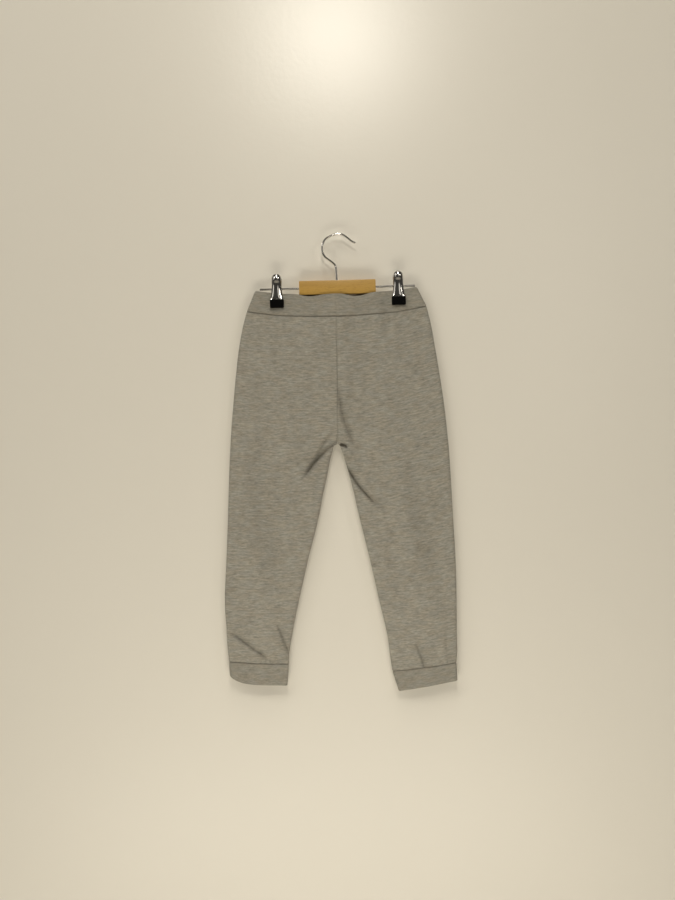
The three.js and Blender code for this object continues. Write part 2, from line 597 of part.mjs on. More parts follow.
// The ears of a clip half are tabs on both its sides, which reach in past the bar that runs
// through them. Those of the front half lie inside those of the back half.
function clipEars(x, sign) {
  const [aside, reach] = sign < 0 ? [EARS.front, EARS.frontReach] : [EARS.back, EARS.backReach];
  const outline = new THREE.Shape();
  outline.moveTo(reach, -EARS.radius).lineTo(reach, EARS.radius).lineTo(0, EARS.radius);
  outline.absarc(0, 0, EARS.radius, Math.PI / 2, 1.5 * Math.PI);
  outline.holes.push(new THREE.Path().absarc(0, 0, WIRE_R + GAP, 0, 2 * Math.PI, true));
  return [-aside, aside].map((offset) => {
    const ear = new THREE.ExtrudeGeometry(outline, {
      depth: EARS.thick,
      bevelEnabled: false,
      curveSegments: 6,
    });
    ear.translate(0, 0, -EARS.thick / 2).rotateX(Math.PI / 2).rotateZ((sign * Math.PI) / 2);
    return solid(ear).translate(x + offset, 0, BAR_LEVEL);
  });
}

// A clip half is an arched wall of pressed metal. sign is -1 in front of the cloth and 1 behind.
function clipHalf(x, sign) {
  const steps = 8;
  const arch = (thinner) =>
    CLIP_SECTIONS.map(({ z, half, side, crown }) =>
      Array.from({ length: steps + 1 }, (_, i) => {
        const across = (2 * i) / steps - 1;
        const depth = side + crown * (1 - across ** 2) - thinner;
        return new THREE.Vector3(x + half * across, sign * depth, z);
      }),
    );
  const [left, right] = clipEars(x, sign);
  return fromSolid(solid(wallGeometry(arch(0), arch(METAL))).add(left).add(right));
}

// A rubber boot: a rounded block with a slot in its top that holds the clip's tongue.
function clipBoot(x, sign) {
  const block = roundedBlock(BOOT.width, BOOT.height, BOOT.thick, BOOT.top, BOOT.round);
  const y = sign * (BOOT.inner + BOOT.thick / 2);
  const slot = new THREE.BoxGeometry(SLOT.width, SLOT.thick, 2 * SLOT.depth);
  slot.translate(0, sign * (SLOT.from + SLOT.thick / 2 - BOOT.inner - BOOT.thick / 2), BOOT.top);
  return fromSolid(solid(block).subtract(solid(slot))).translate(x, y, 0);
}

// The spring round the bar, as a plain sleeve.
function clipSpring(x) {
  const sleeve = solid(rodAlongX(SPRING.outer, SPRING.length));
  const made = sleeve.subtract(solid(rodAlongX(WIRE_R + GAP, 2 * SPRING.length)));
  return fromSolid(made).translate(x, 0, BAR_LEVEL);
}

// Materials
const finish = (color, roughness, metalness) =>
  new THREE.MeshStandardMaterial({ color, roughness, metalness });
const jersey = finish(0x8f8b80, 0.95, 0);
const rib = finish(0x87837a, 0.95, 0);
const chrome = finish(0xd8d8d8, 0.15, 1);
const wood = finish(0xc79a4e, 0.55, 0);
const rubber = finish(0x0b0b0c, 0.6, 0);

const part = new THREE.Group();

function place(name, geometry, material) {
  const mesh = new THREE.Mesh(geometry, material);
  mesh.name = name;
  part.add(mesh);
}

for (const side of ["left", "right"]) {
  for (const face of ["front", "back"]) place(`${face}_${side}`, legPanel(side, face), jersey);
  place(`cuff_${side}`, cuff(side), rib);
}
place("waistband", waistband(), rib);
place("hanger_hook", hangerHook(), chrome);
place("hanger_plate", hangerPlate(), wood);
place("hanger_bar", hangerBar(), chrome);
for (const { side, x } of CLIPS) {
  for (const [face, sign] of [
    ["front", -1],
    ["back", 1],
  ]) {
    place(`clip_${side}_${face}`, clipHalf(x, sign), chrome);
    place(`boot_${side}_${face}`, clipBoot(x, sign), rubber);
  }
  place(`spring_${side}`, clipSpring(x), chrome);
}

export default part;
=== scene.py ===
"""A child's grey melange jogger sweatpants, clipped flat to a trouser hanger, against a pale wall.

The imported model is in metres. The tables of the cloth and the hanger are in millimetres, and MM
turns them into metres where a mesh is made. -Y is the front, and left and right are as seen from it.
"""

import math

import bmesh
import bpy
import numpy as np
from mathutils import Matrix, Vector


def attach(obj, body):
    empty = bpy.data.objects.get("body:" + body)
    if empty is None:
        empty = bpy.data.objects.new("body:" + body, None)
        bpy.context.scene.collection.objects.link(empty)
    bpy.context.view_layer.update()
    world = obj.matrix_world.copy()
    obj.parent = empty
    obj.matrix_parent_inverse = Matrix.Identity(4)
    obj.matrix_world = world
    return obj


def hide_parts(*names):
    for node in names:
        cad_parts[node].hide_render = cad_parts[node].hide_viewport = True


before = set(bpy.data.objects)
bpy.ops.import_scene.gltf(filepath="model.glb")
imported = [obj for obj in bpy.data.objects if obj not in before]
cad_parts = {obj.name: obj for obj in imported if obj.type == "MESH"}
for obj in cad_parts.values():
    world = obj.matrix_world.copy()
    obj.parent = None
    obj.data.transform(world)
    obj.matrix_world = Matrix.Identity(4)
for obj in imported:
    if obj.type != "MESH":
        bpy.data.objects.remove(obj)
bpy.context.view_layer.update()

MM = 0.001
SIDES = ("left", "right")
FACES = {"front": -1, "back": 1}

# Clearances and cloth
GAP = 0.3
SLIT = 0.1  # between two panels at a seam that is turned in
JERSEY_WALL = 1.6
BAND_WALL = 3.2
CUFF_WALL = 2.6

# The garment's seams and the tube that each leg forms
CROTCH_LEVEL = -313.6
CROTCH_RISE = 12  # above the crotch, over this height the inner edge turns from rolled to flat
CROTCH_STRAIGHT = 20  # this near the crotch the inner edge runs straight between sections
LEG_SPLIT_START = -200  # from here down to the crotch the body's depth parts into two legs'
BODY_SEAM_CURVE = 2.2
LEG_SEAM_CURVE = 1.3
BODY_PLATEAU = 0.7  # the share of a panel's width over which the body swells from the side
FOLD_FLOOR = 0.3  # the share of the roll that no crease takes away
CUFF_ROLL = 4.6
HEM_CURL_CURVE = 7
BAND_SWELL = 0.35  # the share of its width over which the waistband swells from each end
BAND_DRAPE = {"height": 0.55, "ripple": 9, "reach": 52}
CUFF_RIPPLE = {"height": 0.35, "length": 7.3}

# The hanger. In this scene its plate reaches down to the cloth, 1.6 past the end of its solid.
CENTRE_X = -3
STEM_X = -3.7
WIRE_R = 1.6
BAR_LEVEL = -79
BAR_LENGTH = 233
PLATE = {"width": 115, "height": 21.4, "thick": 9, "top": -68, "round": 1.2, "stem": 7}
CLIP_X = {"left": -94, "right": 88.3}
METAL = 1
CLIP_TOP = -57.2
BOOT = {"width": 20.8, "height": 12.5, "top": -95.2, "inner": 3.7, "thick": 5.6, "round": 1.4}
SLOT = {"width": 18.8, "thick": 2.4, "depth": 9, "from": 5.2}
SPRING = {"outer": 4.6, "length": 9, "wire": 1.2, "turns": 6}
EARS = {"radius": 3, "thick": 1, "front": (5.5, 5.4), "back": (6.8, 4.5)}
PINCH = {"half": BOOT["inner"] - GAP, "spread_x": 22, "hold": 1.35, "below": 62}

# Sections of each leg tube, from the waist seam down to the cuff seam. lift is how much higher the
# outer edge is than the inner one, roll the radius of the rolled edge and bulge half the depth.
SECTION_COLUMNS = ("level", "lift", "x_out", "x_in", "roll", "bulge")
SECTIONS = {
    "left": (
        (-122.6, 10.4, -140.2, -5.8, 4.8, 8.8),
        (-146, 8.5, -147.2, -6.0, 5, 9.6),
        (-180, 6, -154.3, -6.2, 5.2, 10.4),
        (-222, 4, -160.1, -6.6, 5.4, 11),
        (-268, 2, -165.5, -7.6, 5.6, 11.4),
        (-300, 0.5, -168.8, -8.6, 5.6, 11.4),
        (-313.6, 0, -169.8, -9, 5.6, 11.2),
        (-316, 0, -170, -14.6, 5.6, 11.2),
        (-336, 0, -171.5, -19.9, 5.4, 11),
        (-382, 0, -174.3, -30.9, 5.2, 10.6),
        (-427, 0, -176.7, -41, 5, 10.2),
        (-486, 0, -180.4, -57.4, 5, 9.6),
        (-546, 1, -184.2, -72.6, 5, 9.4),
        (-592, 2, -182.6, -83.2, 5, 9.6),
        (-622, 4, -181.7, -88.8, 5, 9.4),
        (-640.6, 5.2, -180, -90, 4.6, 8.2),
    ),
    "right": (
        (-122.6, 12, 130.2, -5.8, 4.8, 8.8),
        (-146, 9.5, 135.8, -6.0, 5, 9.6),
        (-180, 6.5, 141.5, -6.2, 5.2, 10.4),
        (-222, 4, 147.8, -6.6, 5.4, 11),
        (-268, 2, 153.4, -7.6, 5.6, 11.4),
        (-300, 0.5, 156.1, -8.6, 5.6, 11.4),
        (-313.6, 0, 157.2, -9, 5.6, 11.2),
        (-316, 0, 157.4, -5.4, 5.5, 11.2),
        (-332, 0, 158.3, -0.2, 5.4, 11),
        (-370, 0, 159.8, 9.8, 5.2, 10.6),
        (-428, 0, 161.6, 21.8, 5, 10.2),
        (-488, 0, 163.6, 35, 5, 9.6),
        (-549, 1, 163.5, 47.2, 5, 9.4),
        (-603, 3, 162.7, 58.4, 5, 9.6),
        (-634, 6, 162.4, 61.6, 5, 9.2),
        (-655, 9.6, 160.6, 64, 4.6, 8.2),
    ),
}

# The cuffs: drop is the height, hem_lift how much higher the hem's outer end is, and curl its upturn
CUFFS = {
    "left": {"drop": 32.6, "hem_in": -93.3, "hem_out": -179.2, "hem_lift": 5, "curl": 11, "bulge": 8.4},
    "right": {"drop": 31, "hem_in": 73.2, "hem_out": 161.4, "hem_lift": 13.4, "curl": 0, "bulge": 8.4},
}
WAIST_TOP = {"left": -126.6, "right": 116.2, "level": -81, "sag": 8, "sharpness": 2.3}

# Where the front's top edge dips below the back's, under the plate
DIP_COLUMNS = ("x", "half", "depth")
FRONT_DIPS = (
    (-46, 25, 3.2),
    (27, 28, 3.8),
)

# Creases in the legs. Each runs from (x, z) to (to_x, to_z), bowed to its right by bow, and sinks
# by depth. right and left are its half widths, seen along it. edge is 0 for a soft trough and 1
# for a sharp one. A negative depth is a ridge.
CREASE_COLUMNS = ("x", "z", "to_x", "to_z", "bow", "depth", "right", "left", "edge")
FRONT_CREASES = (
    # beside the centre seam, and the strip that stands up between it and the seam
    (-5.5, -230, 14.5, -313, 4.5, 4.2, 4, 5.5, 0.5),
    (7, -131, 14, -172, 1, 1.4, 4, 4, 0.4),
    (22, -150, 30, -290, -3, 0.8, 12, 12, 0),
    # left crotch: a sharp crease, a soft one above it and the cloth that stands up round them
    (-11, -312, -59, -360, 3, 5.6, 3.6, 1.9, 0.8),
    (-19, -298, -54, -352, 0.5, 2.8, 2.6, 3, 0.3),
    (-25, -318, -44, -341, 0, 2.2, 3.5, 3, 0),
    (-26, -330, -56, -368, 0, -1.6, 3, 6, 0),
    (-16, -286, -66, -346, 0, -1.8, 12, 5, 0),
    (-15, -300, -12, -262, 1, 1.1, 4, 4, 0.4),
    # right crotch
    (4, -348, 39, -398, 2.6, 9.3, 1.8, 3, 0.9),
    (37, -394, 60, -414, 0, 2, 4, 7, 0.2),
    (16, -344, 56, -388, 1, -1.6, 4, 10, 0),
    (2, -318, 8, -344, 2, 1.8, 2.5, 5, 0.5),
    # the pocket under the seam where the four panels meet: sunk, and darkened with painted shade
    (-5.5, -315, 5, -318, -0.8, 12, 1.8, 2, 0.3),
    # thighs and knees
    (-137, -326, -128, -486, 4, 1.6, 14, 14, 0),
    (-104, -380, -112, -540, 5, 1, 13, 13, 0),
    (92, -340, 112, -520, -5, 1.2, 15, 15, 0),
    (128, -400, 134, -560, 3, 0.9, 12, 12, 0),
    (62, -440, 84, -560, 3, 0.8, 11, 11, 0),
    # left ankle
    (-175, -593, -123, -631, 0, 4.6, 2.2, 3.6, 0.8),
    (-168, -583, -116, -622, -1.5, -1, 6, 6, 0),
    (-106, -584, -90, -626, -0.5, 4.2, 2.2, 3.4, 0.7),
    (-116, -590, -100, -628, -2, -0.8, 6, 6, 0),
    (-150, -628, -128, -622, 0, 0.9, 4, 4, 0.2),
    # right ankle
    (101, -618, 113, -652, -0.5, 3.6, 2, 3.4, 0.7),
    (106, -612, 124, -646, -1, -0.8, 6, 6, 0),
    (147, -596, 147, -640, 1, 1, 4, 4, 0.3),
    (74, -612, 82, -650, 1, 0.9, 5, 5, 0.1),
    # drawn out from the clips
    (96, -112, 126, -150, 2, 0.9, 5, 5, 0.2),
    (84, -114, 60, -150, -2, 0.8, 6, 6, 0),
    (92, -116, 98, -176, 1, 0.8, 7, 7, 0),
    (-100, -116, -124, -152, -2, 0.8, 6, 6, 0),
    (-88, -116, -70, -158, 2, 0.7, 6, 6, 0),
)
BACK_CREASES = (
    (-16, -150, -26, -300, -3, 1.8, 8, 8, 0.2),
    (8, -140, 16, -240, 2, 1.1, 7, 7, 0.2),
    (-20, -302, -62, -372, -5, 4.2, 4.6, 4.6, 0.7),
    (-30, -298, -74, -362, -5, -1.1, 8, 8, 0),
    (4, -320, 44, -386, 5, 4.4, 4.6, 4.6, 0.7),
    (14, -312, 58, -376, 5, -1.1, 8, 8, 0),
    (-120, -350, -116, -500, -4, 1.5, 14, 14, 0),
    (-146, -420, -150, -560, 3, 0.9, 12, 12, 0),
    (104, -330, 118, -490, 5, 1.6, 14, 14, 0),
    (70, -420, 92, -560, -4, 1, 12, 12, 0),
    (-160, -590, -128, -634, 2, 2.6, 4.6, 4.6, 0.6),
    (-150, -580, -116, -626, 2, -0.8, 6, 6, 0),
    (142, -594, 96, -638, -3, 3, 4.6, 4.6, 0.6),
    (148, -582, 104, -626, -3, -0.8, 6, 6, 0),
    (78, -618, 90, -652, 1, 1, 5, 5, 0.2),
    (92, -116, 110, -162, 2, 0.8, 6, 6, 0),
    (-96, -116, -118, -158, -2, 0.8, 6, 6, 0),
    (-90, -116, -68, -160, 2, 0.7, 6, 6, 0),
)
CREASES = {"front": FRONT_CREASES, "back": BACK_CREASES}

# The share of a crease's length over which each of its ends fades out
FOLD_FADE = 0.4

# A sharp crease's half width, as a share of a soft one's
SHARP_REACH = 0.75

# Slow waves of the hanging cloth: height, turns per millimetre across and down, and phase
WAVE_COLUMNS = ("height", "across", "down", "phase")
WAVES = (
    (0.42, 1 / 150, 1 / 310, 0.2),
    (0.34, 1 / 84, -1 / 260, 2.1),
    (0.24, 1 / 47, 1 / 190, 4.0),
    (0.16, -1 / 31, 1 / 118, 1.1),
    (0.1, 1 / 19, 1 / 77, 5.2),
)
BACK_PHASE = 2.4
WAVE_FADE = {"waist": 40, "cuff": 25}

# How far the knit's rows have slipped down at the side of a leg, at each level, so that they slant
ROW_SLANT = {
    "left": ((-122, 2), (-290, -5), (-450, -4), (-640, 2)),
    "right": ((-122, -8), (-290, -21), (-450, -14), (-640, -5)),
}

# Gathers where a seam draws the cloth in: height, reach from the seam and width of one
GATHERS = {"waist": (0.3, 13, 8.5), "cuff": (0.75, 17, 9.5)}

# How they wander to and fro: amount, length and phase
GATHER_WANDER = ((1.3, 17, 0), (0.8, 6.1, 1))

# A seam turned in: how deep it sinks and how far from the seam it starts
SEAM_SINK = {"centre": (0.7, 2), "side": (0.5, 1.8), "waist": (1.5, 2.5), "cuff": (1.1, 2.8)}

# Painted shade in seams: how dark and how far from the seam. A crease of the depth below is darkest.
SEAM_PAINTED_SHADE = {"centre": (0.26, 1.3), "side": (0.04, 1.2), "waist": (0.5, 1.3), "cuff": (0.22, 1.4)}
PAINTED_SHADE_DEPTH = 7.5
SEAM_PAINTED_SHADE_CURVE = 1.2
CREASE_PAINTED_SHADE_CURVE = 1.3

# How strongly painted shade darkens the inside of the waistband and the cuffs
INSIDE_SHADE = 0.95

# Rib knit: width of one rib and how far it stands up
RIB = {"pitch": 1.9, "height": 0.16}

# The hook's centre line in its own plane, from the end inside the plate to the free tip: x, z
HOOK_LINE = (
    (STEM_X, -74.6),
    (STEM_X, -66),
    (-4.3, -52),
    (-5, -46.4),
    (-8, -42.4),
    (-14.4, -37.2),
    (-20.2, -32.4),
    (-23.6, -26),
    (-24.4, -19),
    (-22.9, -12),
    (-18.8, -5.6),
    (-12.6, -1.8),
    (-6, 0.5),
    (0, WIRE_R),
    (4.8, 1.2),
    (9.2, -1.1),
    (14.6, -5.2),
    (20, -9.8),
    (26, -12.8),
)

# Sections of a clip half from the tongue in its boot up to the domed finger tab: height, half
# width, how far its sides stand from the middle plane and how much further its crown stands out
CLIP_COLUMNS = ("z", "half", "side", "crown")
CLIP_SECTIONS = (
    (BOOT["top"] - 8.4, 8.6, 6.5, 0.5),
    (BOOT["top"] - 1, 8.7, 6.5, 0.5),
    (BOOT["top"] + 0.6, 9, 6.2, 1.5),
    (BOOT["top"] + 3, 8.7, 5.2, 3),
    (BAR_LEVEL - 4.6, 7.7, 4.8, 3.1),
    (BAR_LEVEL, 7.5, 4.3, 3.3),
    (BAR_LEVEL + 3.6, 7.2, 4.5, 3.3),
    (CLIP_TOP - 15, 7.2, 4.9, 3.4),
    (CLIP_TOP - 12.9, 7.35, 5.1, 3.5),
    (CLIP_TOP - 11.2, 7.5, 5.3, 4.1),
    (CLIP_TOP - 9, 7.6, 5.5, 4.6),
    (CLIP_TOP - 6.6, 7.6, 5.7, 4.6),
    (CLIP_TOP - 4.2, 7.1, 6, 4),
    (CLIP_TOP - 2.2, 6, 6.4, 2.8),
    (CLIP_TOP - 0.8, 4.2, 6.9, 1.3),
    (CLIP_TOP - 0.15, 2.4, 7.2, 0.4),
    (CLIP_TOP, 1.2, 7.3, 0.1),
)
ARCH_TURN = 45  # an arch's section is an arc that turns this many degrees to each side

# The view: tilt in degrees, the point that the camera looks at and its distance from that point
CAMERA = {"tilt": 1.5, "aim": (-9.2, 0, -322.4), "distance": 1875, "lens": 50, "sensor": 36}

# The dim light from all round
ROOM = {"colour": (0.9, 0.84, 0.74, 1), "strength": 0.05}

# The plate's wood: grain from brown to pale, darker pores, and painted shade on the hidden lower edge
WOOD_COLOURS = {
    "brown": (0.385, 0.217, 0.042, 1),
    "pale": (0.545, 0.34, 0.085, 1),
    "pore": (0.3, 0.165, 0.035, 1),
    "edge": (0.035, 0.02, 0.008, 1),
}

# Mesh resolution of the cloth: millimetres between points, and steps round a quarter of a rolled
# edge and along one face of a folded piece
CLOTH_STEP = 2.0
ROLL_STEPS = 9
BAND_STEPS = 560
CUFF_STEPS = 190

# Rows of the folded pieces, as shares of the way down, closer together at the two edges. The inner
# wall has one row for every INNER_ROWS of them.
BAND_ROWS = (0, 0.02, 0.045, 0.08, *np.linspace(0.14, 0.88, 11), 0.92, 0.955, 0.98, 1)
CUFF_ROWS = (0, 0.03, 0.06, 0.1, *np.linspace(0.18, 0.86, 9), 0.91, 0.95, 0.98, 1)
INNER_ROWS = 2
FOLD_TURNS = 6


def rows_of(table, columns):
    """A table's rows, each as a dictionary by the names of its columns."""
    return [dict(zip(columns, row)) for row in table]


def new_object(name, data):
    made = bpy.data.objects.new(name, data)
    bpy.context.scene.collection.objects.link(made)
    return made


# Camera, wall and light


def make_camera():
    """The photograph's view: straight on, with the garment hanging a little off upright."""
    tilt = math.radians(CAMERA["tilt"])
    aim = Vector(CAMERA["aim"]) * MM
    data = bpy.data.cameras.new("camera")
    data.lens = CAMERA["lens"]
    data.sensor_width = CAMERA["sensor"]
    camera = new_object("camera", data)
    right = Vector((math.cos(tilt), 0, -math.sin(tilt)))
    up = Vector((math.sin(tilt), 0, math.cos(tilt)))
    back = Vector((0, -1, 0))
    turned = Matrix((right, up, back)).transposed().to_4x4()
    camera.matrix_world = Matrix.Translation(aim + back * (CAMERA["distance"] * MM)) @ turned
    bpy.context.scene.camera = camera


def make_wall():
    """One sheet that runs down the wall and round on to the floor, in front of which all hangs."""
    wall_y, floor_z, top_z = 0.0155, -1.2, 1.5
    sweep, steps, reach, half_width = 0.16, 12, 3.2, 2.6
    profile = [(wall_y, top_z)]
    for i in range(steps + 1):
        angle = i / steps * math.pi / 2
        along, up = 1 - math.cos(angle), 1 - math.sin(angle)
        profile.append((wall_y - sweep * along, floor_z + sweep * up))
    profile.append((wall_y - reach, floor_z))
    points = [(x, y, z) for y, z in profile for x in (-half_width, half_width)]
    faces = [(2 * i, 2 * i + 2, 2 * i + 3, 2 * i + 1) for i in range(len(profile) - 1)]
    mesh = bpy.data.meshes.new("wall_and_floor")
    mesh.from_pydata(points, [], faces)
    if mesh.polygons[0].normal.y > 0:
        mesh.flip_normals()
    mesh.shade_smooth()
    wall = new_object("wall_and_floor", mesh)
    wall.visible_shadow = False
    mesh.materials.append(wall_paint())


# A lamp's aim is the height that it points at, and spread is its cone in degrees.
LIGHT_COLUMNS = ("name", "place", "aim", "spread", "width", "height", "power", "colour", "mirrored")
WARM, NEUTRAL = (1.0, 0.945, 0.84), (1.0, 0.97, 0.92)
LIGHTS = (
    ("key_high_left", (-1.7, -2.6, 2.2), -0.42, 70, 2.0, 2.0, 3.5, WARM, False),
    ("low_fill", (-0.05, -1.0, -1.15), -0.6, 180, 1.2, 0.5, 6.8, WARM, False),
    ("high_lamp", (0.01, -1.88, 0.97), -0.35, 180, 0.36, 0.2, 6.5, WARM, True),
    ("ceiling", (0, -1.15, 1.45), -0.35, 180, 0.42, 1.6, 11.5, WARM, True),
    ("lamp_left", (-1.5, -1.25, 0.75), -0.35, 180, 0.3, 0.3, 3.3, WARM, True),
    ("lamp_right", (1.4, -1.4, 0.55), -0.35, 180, 0.3, 0.3, 3.3, WARM, True),
    ("strip_left", (-1.6, -0.92, 0.2), -0.35, 180, 0.45, 0.9, 0.9, WARM, True),
    ("strip_right", (0.62, -1.7, 0.2), -0.35, 180, 0.45, 0.9, 0.8, WARM, True),
    ("back_left", (-0.9, 1.5, 0.3), -0.35, 180, 0.8, 0.8, 17, NEUTRAL, True),
    ("back_right", (0.9, 1.5, 0.1), -0.35, 180, 0.8, 0.8, 13, NEUTRAL, True),
)


def make_lights():
    """Soft light from high and low, lamps and strips that the metal mirrors, and a dim room."""
    for light in rows_of(LIGHTS, LIGHT_COLUMNS):
        data = bpy.data.lights.new(light["name"], "AREA")
        data.shape = "ELLIPSE"
        data.size, data.size_y = light["width"], light["height"]
        data.spread = math.radians(light["spread"])
        data.energy = light["power"]
        data.color = light["colour"]
        lamp = new_object(light["name"], data)
        lamp.location = light["place"]
        towards = Vector((0, 0, light["aim"])) - lamp.location
        lamp.rotation_euler = towards.to_track_quat("-Z", "Y").to_euler()
        lamp.visible_camera = False
        lamp.visible_glossy = light["mirrored"]
    world = bpy.data.worlds.new("room")
    world.use_nodes = True
    background = world.node_tree.nodes["Background"]
    background.inputs["Color"].default_value = ROOM["colour"]
    background.inputs["Strength"].default_value = ROOM["strength"]
    bpy.context.scene.world = world
    bpy.context.scene.view_settings.view_transform = "Standard"


# Materials


def new_material(name, constants):
    """A material with its node tree and its Principled shader, on which the constants are set."""
    material = bpy.data.materials.new(name)
    material.use_nodes = True
    tree = material.node_tree
    shader = tree.nodes["Principled BSDF"]
    for key, value in constants.items():
        shader.inputs[key].default_value = value
    return material, tree, shader


def add_node(tree, kind, inputs=None, **settings):
    """Adds a node, sets its properties, and sets or links its inputs by name or number."""
    node = tree.nodes.new(kind)
    for key, value in settings.items():
        setattr(node, key, value)
    for key, value in (inputs or {}).items():
        socket = node.inputs[key]
        if isinstance(value, bpy.types.NodeSocket):
            tree.links.new(value, socket)
        else:
            socket.default_value = value
    return node


def math_node(tree, operation, a, b=0.0, **settings):
    return add_node(tree, "ShaderNodeMath", {0: a, 1: b}, operation=operation, **settings).outputs[0]


def mix_colours(tree, share, first, second, blend="MIX"):
    """Goes from the first colour to the second by share."""
    inputs = {"Factor": share, 6: first, 7: second}
    return add_node(tree, "ShaderNodeMix", inputs, data_type="RGBA", blend_type=blend).outputs[2]


def object_place(tree):
    return add_node(tree, "ShaderNodeTexCoord").outputs["Object"]


def noise(tree, vector, scale, detail):
    inputs = {"Vector": vector, "Scale": scale, "Detail": detail}
    return add_node(tree, "ShaderNodeTexNoise", inputs).outputs["Fac"]


def stretched_noise(tree, vector, length, height, detail, offset=0.0):
    """Noise whose blotches are length wide and height tall, in metres on the cloth."""
    mapping = add_node(
        tree,
        "ShaderNodeMapping",
        {"Vector": vector, "Location": (offset, offset / 2, 0), "Scale": (1 / length, 1 / height, 1)},
    )
    inputs = {"Vector": mapping.outputs[0], "Scale": 1.0, "Detail": detail, "Roughness": 0.55}
    return add_node(tree, "ShaderNodeTexNoise", inputs).outputs["Fac"]


def bump(tree, height, strength, distance, under=None):
    """The normal of a surface raised by height, on top of another bump's normal if one is given."""
    inputs = {"Height": height, "Strength": strength, "Distance": distance}
    if under is not None:
        inputs["Normal"] = under
    return add_node(tree, "ShaderNodeBump", inputs).outputs[0]


def new_group(name, inputs, outputs):
    """A shader node group. Each input has a kind and a start value, each output a kind."""
    tree = bpy.data.node_groups.new(name, "ShaderNodeTree")
    for key, (kind, value) in inputs.items():
        socket = tree.interface.new_socket(key, in_out="INPUT", socket_type="NodeSocket" + kind)
        if value is not None:
            socket.default_value = value
    for key, kind in outputs.items():
        tree.interface.new_socket(key, in_out="OUTPUT", socket_type="NodeSocket" + kind)
    return tree, tree.nodes.new("NodeGroupInput").outputs, tree.nodes.new("NodeGroupOutput")


def place_group(tree, group, inputs):
    return add_node(tree, "ShaderNodeGroup", inputs, node_tree=group).outputs


def melange_group():
    """Mixed light and dark fibres: short streaks along the courses, finer flecks and soft clouds.

    A second, slower noise turns the tone a little towards brown or grey, and painted shade darkens it
    towards a deep brown.
    """
    tree, given, out = new_group(
        "melange yarn",
        {
            "Vector": ("Vector", None),
            "Dark": ("Color", (0.1, 0.1, 0.1, 1)),
            "Light": ("Color", (0.4, 0.4, 0.4, 1)),
            "Contrast": ("Float", 1.0),
            "Painted Shade": ("Float", 0.0),
        },
        {"Color": "Color", "Height": "Float"},
    )
    greyer, browner, painted_shade_colour = (0.985, 1.0, 1.02, 1), (1.025, 0.995, 0.965, 1), (0.034, 0.027, 0.017, 1)
    vector = given["Vector"]
    streaks = stretched_noise(tree, vector, 0.0125, 0.0023, 3)
    flecks = stretched_noise(tree, vector, 0.0048, 0.0011, 2, 31)
    clouds = stretched_noise(tree, vector, 0.034, 0.017, 2, 57)
    hues = stretched_noise(tree, vector, 0.019, 0.009, 1, 83)
    mixed = math_node(tree, "MULTIPLY", streaks, 0.5)
    mixed = math_node(tree, "ADD", mixed, math_node(tree, "MULTIPLY", flecks, 0.36))
    mixed = math_node(tree, "ADD", mixed, math_node(tree, "MULTIPLY", clouds, 0.14))
    spread = math_node(tree, "MULTIPLY", math_node(tree, "SUBTRACT", mixed, 0.5), given["Contrast"])
    share = math_node(tree, "ADD", spread, 0.5, use_clamp=True)
    yarn = mix_colours(tree, share, given["Dark"], given["Light"])
    steep = add_node(tree, "ShaderNodeMapRange", {"Value": hues, "From Min": 0.35, "From Max": 0.65})
    tint = mix_colours(tree, steep.outputs[0], greyer, browner)
    tinted = mix_colours(tree, 1.0, yarn, tint, "MULTIPLY")
    # painted shade mixes the yarn up to 0.86 of the way to a deep brown
    shaded = math_node(tree, "MULTIPLY", given["Painted Shade"], 0.86)
    tree.links.new(mix_colours(tree, shaded, tinted, painted_shade_colour), out.inputs["Color"])
    tree.links.new(flecks, out.inputs["Height"])
    return tree


def stitch_group():
    """Rows of knit stitches: wales of slanted loops, in the cloth's own directions."""
    tree, given, out = new_group(
        "knit stitches",
        {
            "Vector": ("Vector", None),
            "Wale": ("Float", 0.0011),
            "Course": ("Float", 0.0009),
        },
        {"Height": "Float"},
    )
    parts = add_node(tree, "ShaderNodeSeparateXYZ", {0: given["Vector"]}).outputs
    across = math_node(tree, "FRACT", math_node(tree, "DIVIDE", parts["X"], given["Wale"]))
    aside = math_node(tree, "ABSOLUTE", math_node(tree, "SUBTRACT", across, 0.5))
    down = math_node(tree, "DIVIDE", parts["Y"], given["Course"])
    slanted = math_node(tree, "ADD", down, math_node(tree, "MULTIPLY", aside, 1.1))
    loop = math_node(tree, "SINE", math_node(tree, "MULTIPLY", slanted, 2 * math.pi))
    wale = math_node(tree, "SINE", math_node(tree, "MULTIPLY", aside, 2 * math.pi))
    height = math_node(tree, "ADD", math_node(tree, "MULTIPLY", loop, 0.35), wale)
    tree.links.new(height, out.inputs["Height"])
    return tree


def cloth_material(name, dark, light, contrast, wale, course, stitch_depth):
    """Brushed melange knit. Its yarn and stitches follow the cloth's own UV map, in metres."""
    material, tree, shader = new_material(
        name,
        {
            "Roughness": 0.92,
            "Specular IOR Level": 0.2,
            "Sheen Weight": 0.26,
            "Sheen Roughness": 0.5,
            "Sheen Tint": (0.95, 0.93, 0.88, 1),
        },
    )
    uv = add_node(tree, "ShaderNodeUVMap", uv_map="cloth").outputs[0]
    # the mesh's painted shade: darker in creases, seams and the inside of the folded pieces
    painted_shade = add_node(tree, "ShaderNodeAttribute", attribute_name="painted_shade").outputs["Fac"]
    melange = place_group(
        tree,
        MELANGE,
        {"Vector": uv, "Dark": dark, "Light": light, "Contrast": contrast, "Painted Shade": painted_shade},
    )
    stitches = place_group(tree, STITCHES, {"Vector": uv, "Wale": wale, "Course": course})
    knit = bump(tree, stitches["Height"], stitch_depth, 0.00025)
    fuzz = bump(tree, melange["Height"], 0.55, 0.0006, knit)
    tree.links.new(melange["Color"], shader.inputs["Base Color"])
    tree.links.new(fuzz, shader.inputs["Normal"])
    return material


